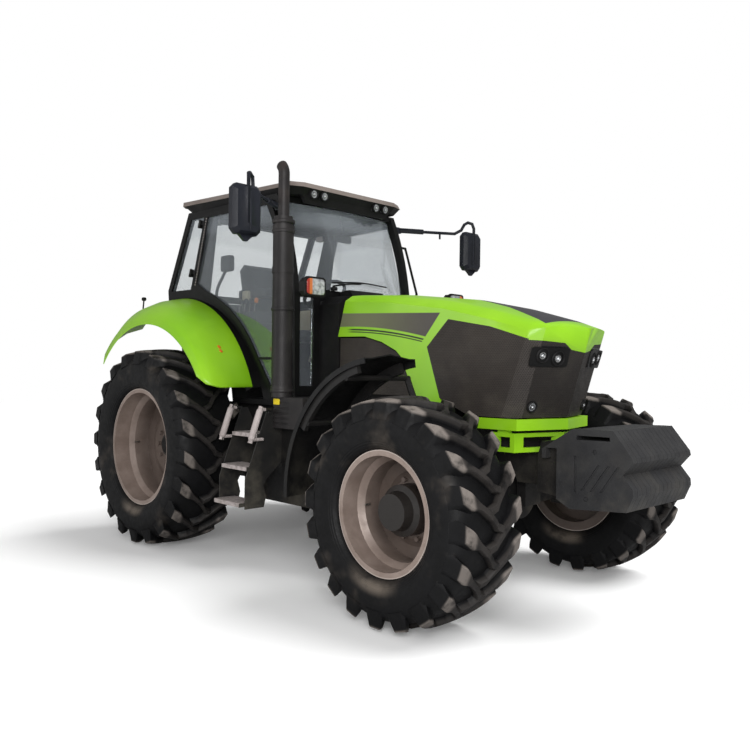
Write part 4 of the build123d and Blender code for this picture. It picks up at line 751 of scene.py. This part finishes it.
def curved(points, steps=8):
    # a smooth path through the points: each span is a cubic that keeps its direction at both ends
    p = np.array(points, float)
    p = np.concatenate([2 * p[:1] - p[1:2], p, 2 * p[-1:] - p[-2:-1]])
    t = np.linspace(0, 1, steps, endpoint=False)[None, :, None]
    a, b, c, d = (p[i:len(p) - 3 + i, None] for i in range(4))
    span = b + 0.5 * ((c - a) * t + (2 * a - 5 * b + 4 * c - d) * t ** 2 + (3 * b - a - 3 * c + d) * t ** 3)
    return np.concatenate([span.reshape(-1, 3), p[-2:-1]])


def tube(path, radius, finish, sides=14):
    # a circle carried along a path and drawn to a point at both ends
    along = np.gradient(path, axis=0)
    along = along / np.linalg.norm(along, axis=1, keepdims=True)
    guide = np.eye(3)[np.argmin(np.abs(along).sum(0))]
    first = np.cross(along, guide)
    first = first / np.linalg.norm(first, axis=1, keepdims=True)
    second = np.cross(along, first)
    size = np.concatenate([[0], np.broadcast_to(radius, len(path)), [0]])[:, None, None]
    path, first, second = (np.concatenate([a[:1], a, a[-1:]]) for a in (path, first, second))
    turn = np.linspace(0, math.tau, sides, endpoint=False)[None, :, None]
    points = path[:, None] + size * (np.cos(turn) * first[:, None] + np.sin(turn) * second[:, None])
    return points.reshape(-1, 3), gridFaces(len(path), sides, False, True), finish


def placed(shape, centre, axis, finish):
    # the shape's own z axis laid along the given one
    turn = np.array(Vector(axis).to_track_quat("Z", "Y").to_matrix())
    return shape[0] @ turn.T + np.array(centre), shape[1], finish


def otherSide(shapes):
    return [(points * (1, -1, 1), faces, finish) for points, faces, finish in shapes]


trimCrease = 40                          # degrees; sharper edges of the small pieces stay hard


def joinShapes(name, shapes, body):
    # one piece from (points, faces, finish), in metres from the ground under the rear axle
    finishes = list({m.name: m for _, _, m in shapes}.values())
    starts = np.cumsum([0] + [len(points) for points, _, _ in shapes])
    points = np.concatenate([points for points, _, _ in shapes]) + (rearAxle, 0, 0)
    faces = np.concatenate([faces + start for (_, faces, _), start in zip(shapes, starts)])
    piece = meshObject(name, points, faces, finishes[0])
    for extra in finishes[1:]:
        piece.data.materials.append(extra)
    index = np.concatenate([np.full(len(faces), finishes.index(m)) for _, faces, m in shapes])
    piece.data.polygons.foreach_set("material_index", index.astype(np.int32))
    faceOut(piece)
    smoothEdges(piece, trimCrease)
    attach(piece, body)


chrome = steel("polishedSteel", tone(190, 190, 190), tone(160, 160, 160), 0.2)
zinc = steel("zincSteel", tone(150, 148, 142), tone(118, 116, 112), 0.35)
amber = lampLens("amberLens", tone(226, 132, 30), tone(206, 108, 22), 0.0)
redLens = lampLens("redLens", tone(150, 24, 18), tone(120, 16, 12), 0.0)
bulb = lampLens("bulbGlass", tone(236, 238, 240), tone(214, 218, 222))
beige = plastic("beigeTrim", tone(186, 178, 152), tone(170, 162, 138))
cream = plastic("creamShell", tone(186, 176, 174), tone(160, 150, 147), rough=0.45)
silver = mirrorGlass()
upright, forward, outward = (0, 0, 1), (1, 0, 0), (0, -1, 0)


# profiles of (radius, along): a rolled rim outside the lamp's radius, then a stepped bowl and the bulb's eye,
# whose radii are shares of it
lampProfiles = {
    "rim": ((-0.003, 0.0), (-0.002, 0.006), (0.004, 0.009), (0.010, 0.005), (0.011, -0.014),
            (-0.003, -0.014)),
    "bowl": ((0.0, 0.0015), (0.34, 0.0015), (0.42, 0.006), (0.52, 0.006), (0.60, 0.0015), (0.60, -0.004),
             (0.0, -0.004)),
    "eye": ((0.0, 0.012), (0.16, 0.010), (0.27, 0.004), (0.28, -0.002), (0.0, -0.002))}


def roundLamp(centre, radius, look, p):
    rim = np.array(p["rim"]) + (radius, 0)
    bowl, eye = (np.array(p[key]) * (radius, 1) for key in ("bowl", "eye"))
    return [placed(turned(profile), centre, look, finish)
            for profile, finish in ((rim, black), (bowl, chrome), (eye, bulb))]


# round lamps in the nose as (centre, radius), with the dark panel that two of them sit in
noseLamps = {"look": (0.92, -0.28, -0.28), "panel": ((0.310, 0.128, 0.010), 0.16),
             "panelCentre": (3.540, -0.277, 1.650),
             "lamps": (((3.527, -0.338, 1.658), 0.042), ((3.561, -0.216, 1.641), 0.042),
                       ((3.436, -0.311, 1.329), 0.030))}
noseShapes = [part for centre, radius in noseLamps["lamps"]
              for part in roundLamp(centre, radius, noseLamps["look"], lampProfiles)]
noseShapes.append(placed(rounded(*noseLamps["panel"]), noseLamps["panelCentre"], noseLamps["look"],
                         frameBlack))
joinShapes("head_lamp_rings", noseShapes + otherSide(noseShapes), "hood")

roofLampRow = {"look": (0.99, 0.0, -0.15), "places": (-0.416, -0.301, 0.301, 0.416), "x": 1.349, "z": 3.003,
               "radius": 0.033}
roofShapes = [part for y in roofLampRow["places"]
              for part in roundLamp((roofLampRow["x"], y, roofLampRow["z"]), roofLampRow["radius"],
                                    roofLampRow["look"], lampProfiles)]
joinShapes("roof_lamp_rings", roofShapes, "chassis")

# corner lamps on their arms: rim, and a lens that is clear, then amber, then red towards the outside
cornerLamp = {"rim": ((0.204, 0.150, 0.020), 0.3), "rimCentre": (1.853, -0.815, 2.168),
              "lens": ((0.172, 0.120, 0.024), 0.35), "lensCentre": (1.859, -0.815, 2.168),
              "amberFrom": (0.845, 0.858), "redFrom": (0.872, 0.882)}


def cornerLens(c):
    f = Finish("cornerLens")
    out = abs(f.y)
    colour = f.mix(f.noise(24, 3).rise(0.35, 0.7), tone(196, 198, 200), tone(120, 122, 124))
    colour = f.mix(out.rise(*c["amberFrom"]), colour, tone(214, 120, 60))
    colour = f.mix(out.rise(*c["redFrom"]), colour, tone(170, 52, 40))
    return f.surface(colour, f.noise(60, 2) * 0.08 + 0.06, flutes(f, 500), 0.0008, Metallic=0.3,
                     Coat_Weight=0.8, Coat_Roughness=0.03)


cornerShapes = [placed(rounded(*cornerLamp["rim"]), cornerLamp["rimCentre"], forward, black),
                placed(rounded(*cornerLamp["lens"]), cornerLamp["lensCentre"], forward,
                       cornerLens(cornerLamp))]
joinShapes("corner_lamp_lenses", cornerShapes + otherSide(cornerShapes), "chassis")

# mirror faces look back, with a rib down the front of each housing
mirrorFace = {"face": ((0.196, 0.300, 0.006), 0.2), "centre": (1.5905, -1.289, 2.696),
              "rib": ((0.018, 0.300, 0.014), 0.5), "ribCentre": (1.676, -1.272, 2.690)}
mirrorShapes = [placed(rounded(*mirrorFace["face"]), mirrorFace["centre"], forward, silver),
                placed(rounded(*mirrorFace["rib"]), mirrorFace["ribCentre"], forward, mirrorBlack)]
joinShapes("mirror_faces", mirrorShapes + otherSide(mirrorShapes), "chassis")

# silencer: clamp bands with bolts, and a collar under the tail pipe
bandShapes = []
for height, radius in silencer["bands"]:
    ring = np.array(silencer["band"]) + (radius, 0)
    at = np.array((silencer["x"], silencer["y"], height))
    bandShapes += [placed(turned(ring, silencer["bandSides"]), at, upright, shieldMesh),
                   placed(rounded(*silencer["bolt"]), at + silencer["boltShift"], (1, 1, 0), zinc)]
joinShapes("silencer_bands", bandShapes, "chassis")

# apron hung under the cab floor between the wheel and the tank, with a rolled lower edge
apron = {"rear": 0.12, "front": 1.43, "top": 1.262, "drop": 0.190, "y": -0.600, "thick": 0.012,
         "bulge": 0.020, "slant": 0.03, "endRise": 0.25, "columns": 25, "rows": 12}


def apronSheet(a):
    # down the outer face and up the inner one: the height falls with the way down, less at both ends by a
    # sixth power, and a half sine bulges the face outwards
    along = np.linspace(0, 1, a["columns"])[:, None]
    down = np.linspace(0, 1, a["rows"])
    drop = np.concatenate([down, down[::-1]])[None, :]
    inward = np.repeat((0, a["thick"]), a["rows"])[None, :]
    x = a["rear"] + (a["front"] - a["rear"]) * along + a["slant"] * drop * (1 - along)
    y = a["y"] - a["bulge"] * np.sin(drop * math.pi) + inward + 0 * along
    z = a["top"] - a["drop"] * drop * (1 - a["endRise"] * (2 * along - 1) ** 6)
    sheet = np.stack([x, y, z], -1)
    rear, front = (np.broadcast_to(row.mean(0), (1, *row.shape)) for row in (sheet[0], sheet[-1]))
    points = np.concatenate([rear, sheet, front])
    return points.reshape(-1, 3), gridFaces(*points.shape[:2], False, True), black


sheets = [apronSheet(apron)]
joinShapes("cab_aprons", sheets + otherSide(sheets), "chassis")

# small things on the outside: a marker on a stalk, amber studs on the fender, tail lamps on the cab's back,
# which leans out as it rises
outside = {"knob": ((0.040, 0.040, 0.036), 0.7), "stalkRadius": 0.007,
           "stalk": ((-0.445, -1.000, 2.105), (-0.437, -1.000, 2.150), (-0.429, -1.000, 2.196)),
           "stud": ((0.030, 0.034, 0.012), 0.6), "studs": (-0.022, 0.022),
           "studCentre": (0.862, -0.992, 1.713),
           "studLine": (-0.64, 0, 0.76), "studLook": (0.76, 0.12, 0.64),
           "tail": ((0.120, 0.044, 0.024), 0.3),
           "tails": ((2.060, redLens), (2.110, amber), (2.158, clearLens)),
           "tailY": -0.575, "tailLook": (-0.98, 0, -0.22),
           "wallX": -0.2471, "wallLean": -0.2232, "wallZ": 1.6}


def outsideShapes(o):
    shapes = [placed(rounded(*o["knob"]), o["stalk"][-1], upright, black),
              tube(curved(o["stalk"]), o["stalkRadius"], black)]
    for along in o["studs"]:
        spot = np.array(o["studCentre"]) + np.multiply(o["studLine"], along)
        shapes.append(placed(rounded(*o["stud"]), spot, o["studLook"], amber))
    for height, finish in o["tails"]:
        spot = (o["wallX"] + o["wallLean"] * (height - o["wallZ"]), o["tailY"], height)
        shapes.append(placed(rounded(*o["tail"]), spot, o["tailLook"], finish))
    return shapes


outer = outsideShapes(outside)
joinShapes("marker_lights", outer + otherSide(outer), "chassis")

servicePlate = {"plate": ((0.076, 0.046, 0.005), 0.2), "centre": (1.448, -0.851, 1.300),
                "colours": (tone(232, 206, 20), tone(214, 186, 18))}
blank = placed(rounded(*servicePlate["plate"]), servicePlate["centre"], outward,
               platePaint("yellowPlate", *servicePlate["colours"]))
joinShapes("service_plate", [blank], "chassis")

# padded sleeves on the step grips: the radius less a squared sine for the ribs, drawn in at both ends
gripPads = {"places": (1.022, 1.418), "low": (-1.067, 1.007), "high": (-0.983, 1.240), "radius": 0.026,
            "ribs": 40, "ribDepth": 0.0012, "endSize": 0.75, "endSlope": 6, "rows": 61}
padShapes = []
for x in gripPads["places"]:
    share = np.linspace(0, 1, gripPads["rows"])
    low, high = (np.array((x, *gripPads[end])) for end in ("low", "high"))
    ripple = gripPads["radius"] - gripPads["ribDepth"] * np.sin(share * gripPads["ribs"] * math.pi) ** 2
    ripple = ripple * np.minimum(1, gripPads["endSize"] + gripPads["endSlope"] * np.minimum(share, 1 - share))
    padShapes.append(tube(low + (high - low) * share[:, None], ripple, cream))
joinShapes("step_grips", padShapes + otherSide(padShapes), "chassis")

# door trim: a strip of pale studs up the rear edge, and a pull handle
doorTrim = {"low": (0.104, -0.768, 2.300), "high": (0.292, -0.770, 2.900), "stripRadius": 0.011, "studs": 26,
            "stud": ((0.010, 0.012, 0.008), 0.8, 10, 7), "studOut": 0.010, "handle": (1.150, -0.742, 1.640),
            "handleRadius": 0.010, "handlePath": ((-0.080, 0.018, 0), (-0.066, -0.012, 0), (0.066, -0.012, 0),
                                                  (0.080, 0.018, 0))}


def doorShapes(d):
    low, high = np.array(d["low"]), np.array(d["high"])
    shapes = [tube(low + (high - low) * np.linspace(0, 1, 9)[:, None], d["stripRadius"], black)]
    share = (np.arange(d["studs"]) + 0.5) / d["studs"]
    for spot in low + (high - low) * share[:, None] + np.multiply(outward, d["studOut"]):
        shapes.append(placed(rounded(*d["stud"]), spot, outward, cream))
    grip = np.array(d["handle"]) + d["handlePath"]
    return shapes + [tube(curved(grip), d["handleRadius"], black)]


joinShapes("door_trim_right", doorShapes(doorTrim), "door_right")
joinShapes("door_trim_left", otherSide(doorShapes(doorTrim)), "door_left")

# inside the cab: blocks as size, squareness, centre and finish, and tubes as path, radius and finish
cabFittings = {
    "screen": ((0.150, 0.060, 0.150), 0.22, (0.080, -0.420, 2.545), cabinGrey),
    "screenGlass": ((0.126, 0.010, 0.122), 0.18, (0.083, -0.388, 2.545), silver),
    "armrestHead": ((0.420, 0.130, 0.090), 0.35, (0.420, -0.330, 2.245), cabinGrey),
    "leverBoot": ((0.090, 0.060, 0.090), 0.4, (0.380, -0.400, 2.225), beige),
    "wallTrim": ((0.230, 0.050, 0.540), 0.25, (-0.030, 0.640, 1.905), beige),
    "wallKnob": ((0.070, 0.030, 0.090), 0.6, (0.020, 0.612, 1.860), black),
    "innerMirror": ((0.030, 0.180, 0.062), 0.3, (1.270, -0.020, 2.690), black),
    "innerMirrorGlass": ((0.006, 0.160, 0.048), 0.25, (1.254, -0.020, 2.690), silver)}
cabTubes = {
    "screenStalk": (((-0.10, -0.42, 2.10), (-0.09, -0.42, 2.30), (0.00, -0.42, 2.42), (0.07, -0.42, 2.50)),
                    0.014, black),
    "armrestPost": (((0.20, -0.30, 1.95), (0.24, -0.31, 2.08), (0.30, -0.33, 2.20)), 0.030, black),
    "mirrorStalk": (((1.225, -0.02, 2.90), (1.250, -0.02, 2.80), (1.268, -0.02, 2.72)), 0.007, black)}
leverRow = {"levers": ((0.30, black), (0.38, black), (0.46, black), (0.54, amber)), "y": -0.430,
            "foot": 2.055, "neck": 2.120, "top": 2.170, "lean": (0.01, 0.03), "radius": 0.006,
            "knob": ((0.034, 0.034, 0.050), 0.7), "knobLook": (0.2, 0, 1)}
inside = [placed(rounded(size, square), centre, upright, finish)
          for size, square, centre, finish in cabFittings.values()]
inside += [tube(curved(path), radius, finish) for path, radius, finish in cabTubes.values()]
for x, knobFinish in leverRow["levers"]:
    y, (bend, tip) = leverRow["y"], leverRow["lean"]
    stalk = curved([(x, y, leverRow["foot"]), (x + bend, y, leverRow["neck"]), (x + tip, y, leverRow["top"])])
    inside += [tube(stalk, leverRow["radius"], zinc),
               placed(rounded(*leverRow["knob"]), stalk[-1], leverRow["knobLook"], knobFinish)]
joinShapes("cab_controls", inside, "chassis")

cabLamp = {"shell": ((0.120, 0.070, 0.050), 0.3, (0.235, -0.610, 2.890), cream),
           "cap": ((0.030, 0.074, 0.056), 0.3, (0.302, -0.610, 2.888), black)}
lampShapes = [placed(rounded(size, square), centre, upright, finish)
              for size, square, centre, finish in cabLamp.values()]
joinShapes("cab_lamps", lampShapes + otherSide(lampShapes), "chassis")

# the wiper's arm and blade as (across, height) on the windscreen, which leans back as it rises and is bowed
wiper = {"arm": ((-0.30, 2.245), (-0.14, 2.275), (0.02, 2.290)), "armRadius": 0.007,
         "blade": ((-0.30, 2.275), (0.02, 2.300), (0.34, 2.290)), "bladeRadius": 0.006,
         "glassX": 1.466, "glassZ": 2.273, "lean": 0.303, "bow": 0.10,
         "boss": ((0.050, 0.050, 0.034), 0.6), "bossCentre": (1.480, -0.30, 2.222)}


def onWindscreen(line, g):
    return curved([(g["glassX"] + (g["glassZ"] - z) * g["lean"] - g["bow"] * y * y, y, z) for y, z in line])


joinShapes("wiper", [tube(onWindscreen(wiper["arm"], wiper), wiper["armRadius"], black),
                     tube(onWindscreen(wiper["blade"], wiper), wiper["bladeRadius"], black),
                     placed(rounded(*wiper["boss"]), wiper["bossCentre"], upright, black)],
           "chassis")

# wheel valves and hub caps turn with the wheels; capOut is how far the cap stands out past the hub's face
wheelMarks = {"rear": {"valve": 0.425, "cap": 0.070, "capOut": 0.032},
              "front": {"valve": 0.300, "cap": 0.060, "capOut": 0.136}}
# valve's path as (along, across) from its place on the rim, cap's profile as (share of its radius, along)
hubShapes = {"valvePath": ((0, -0.020), (0.010, -0.05), (0.014, -0.075)), "valveRadius": 0.006,
             "inset": 0.050,
             "capProfile": ((0.0, 0.016), (0.6, 0.014), (1.0, 0.006), (1.06, -0.004), (0.0, -0.004))}
for axle, w in wheelPlaces.items():
    m = wheelMarks[axle]
    x, out = w["x"] - rearAxle, -w["halfTrack"]
    cap = np.array(hubShapes["capProfile"]) * (m["cap"], 1)
    stem = [(x - m["valve"] + along, out + across, w["z"]) for along, across in hubShapes["valvePath"]]
    marks = [placed(turned(cap), (x, out + hubShapes["inset"] - m["capOut"], w["z"]), outward, black),
             tube(curved(stem), hubShapes["valveRadius"], zinc)]
    joinShapes(axle + "_wheel_marks_right", marks, axle + "_wheel_right")
    joinShapes(axle + "_wheel_marks_left", otherSide(marks), axle + "_wheel_left")

# brake and hydraulic lines along the chassis, and couplers at the back as a profile of (radius, along)
hoseRuns = {"brake": ((0.55, -0.26, 1.05), (0.95, -0.30, 1.14), (1.35, -0.27, 1.16), (1.80, -0.33, 1.05)),
            "lift": ((-0.30, 0.16, 1.14), (-0.46, 0.16, 1.20), (-0.56, 0.15, 1.12), (-0.545, 0.14, 0.98)),
            "lower": ((-0.30, 0.22, 1.14), (-0.47, 0.22, 1.17), (-0.57, 0.21, 1.08), (-0.55, 0.20, 0.94))}
couplers = {"x": -0.540, "across": (0.14, 0.20), "heights": (0.98, 0.90), "hoseRadius": 0.012, "sides": 20,
            "profile": [(0.0, 0.030), (0.014, 0.030), (0.016, 0.020), (0.022, 0.018), (0.022, 0.0),
                        (0.026, -0.010), (0.0, -0.010)]}
hoses = [tube(curved(run), couplers["hoseRadius"], black) for run in hoseRuns.values()]
hoses += [placed(turned(couplers["profile"], couplers["sides"]), (couplers["x"], y, z), (-1, 0, 0), zinc)
          for y in couplers["across"] for z in couplers["heights"]]
joinShapes("hoses_and_couplers", hoses, "chassis")
print("lamps, trim and controls fitted")

# tones and strengths from 0 to 1, sizes in metres, the sky's disc in degrees, powers as the lamps take them
studio = {"floorSize": 60.0, "floorDrop": 0.001, "floorTone": 0.95, "bounceTone": 0.40, "floorLift": 0.08,
          "ambient": 0.32, "glossy": 0.30,
          "sky": {"towards": (-0.46, -0.56, -1.0), "size": 42.0, "power": 2.9},
          "keySoft": {"place": (6.5, -6.5, 3.4), "target": (0.3, 0, 1.2), "size": 4.5, "power": 560.0},
          "fillSoft": {"place": (-4.0, -8.0, 3.0), "target": (-0.5, 0, 1.2), "size": 4.0, "power": 110.0}}


def addFloor(s):
    # one tone for the eye and a darker one for the light that comes back up
    line = np.linspace(-s["floorSize"] / 2, s["floorSize"] / 2, 9)
    x, y = np.meshgrid(line, line, indexing="ij")
    f = Finish("floorWhite")
    seen = f.node("LightPath", out="Is Camera Ray")
    level = seen * (s["floorTone"] - s["bounceTone"]) + s["bounceTone"] + f.noise(0.8, 2) * 0.02
    pale = f.node("CombineColor", inputs={0: level, 1: level, 2: level})
    matt = f.node("BsdfDiffuse", inputs={"Color": pale})
    lift = f.node("Emission", inputs={"Color": (1, 1, 1, 1), "Strength": seen * s["floorLift"]})
    f.node("OutputMaterial", inputs={0: f.node("AddShader", inputs={0: matt, 1: lift})})
    meshObject("studio_floor", np.stack([x, y, 0 * x - s["floorDrop"]], -1), gridFaces(9, 9),
                        f.material)


def addWorld(s):
    # white where it is looked at, dimmer as a light
    air = Finish("studioAir", "worlds")
    seen = air.node("LightPath", out="Is Camera Ray")
    shine = air.node("LightPath", out="Is Glossy Ray")
    level = seen.most(shine * s["glossy"]).most(s["ambient"])
    back = air.node("Background", inputs={0: (1, 1, 1, 1), 1: level})
    air.node("OutputWorld", inputs={0: back})
    bpy.context.scene.world = air.material


def addLamp(name, kind, towards, power):
    data = bpy.data.lights.new(name, kind)
    data.energy = power
    lamp = bpy.data.objects.new(name, data)
    bpy.context.scene.collection.objects.link(lamp)
    lamp.rotation_euler = Vector(towards).to_track_quat("-Z", "Y").to_euler()
    return lamp


addFloor(studio)
addWorld(studio)
sky = addLamp("skySoft", "SUN", studio["sky"]["towards"], studio["sky"]["power"])
sky.data.angle = math.radians(studio["sky"]["size"])
sky.visible_glossy = False               # its wide disc would show as a white patch on the windscreen
for name in ("keySoft", "fillSoft"):
    s = studio[name]
    lamp = addLamp(name, "AREA", Vector(s["target"]) - Vector(s["place"]), s["power"])
    lamp.data.shape, lamp.data.size, lamp.location = "DISK", s["size"], s["place"]
bpy.context.scene.view_settings.view_transform = "Standard"
print("studio lit")
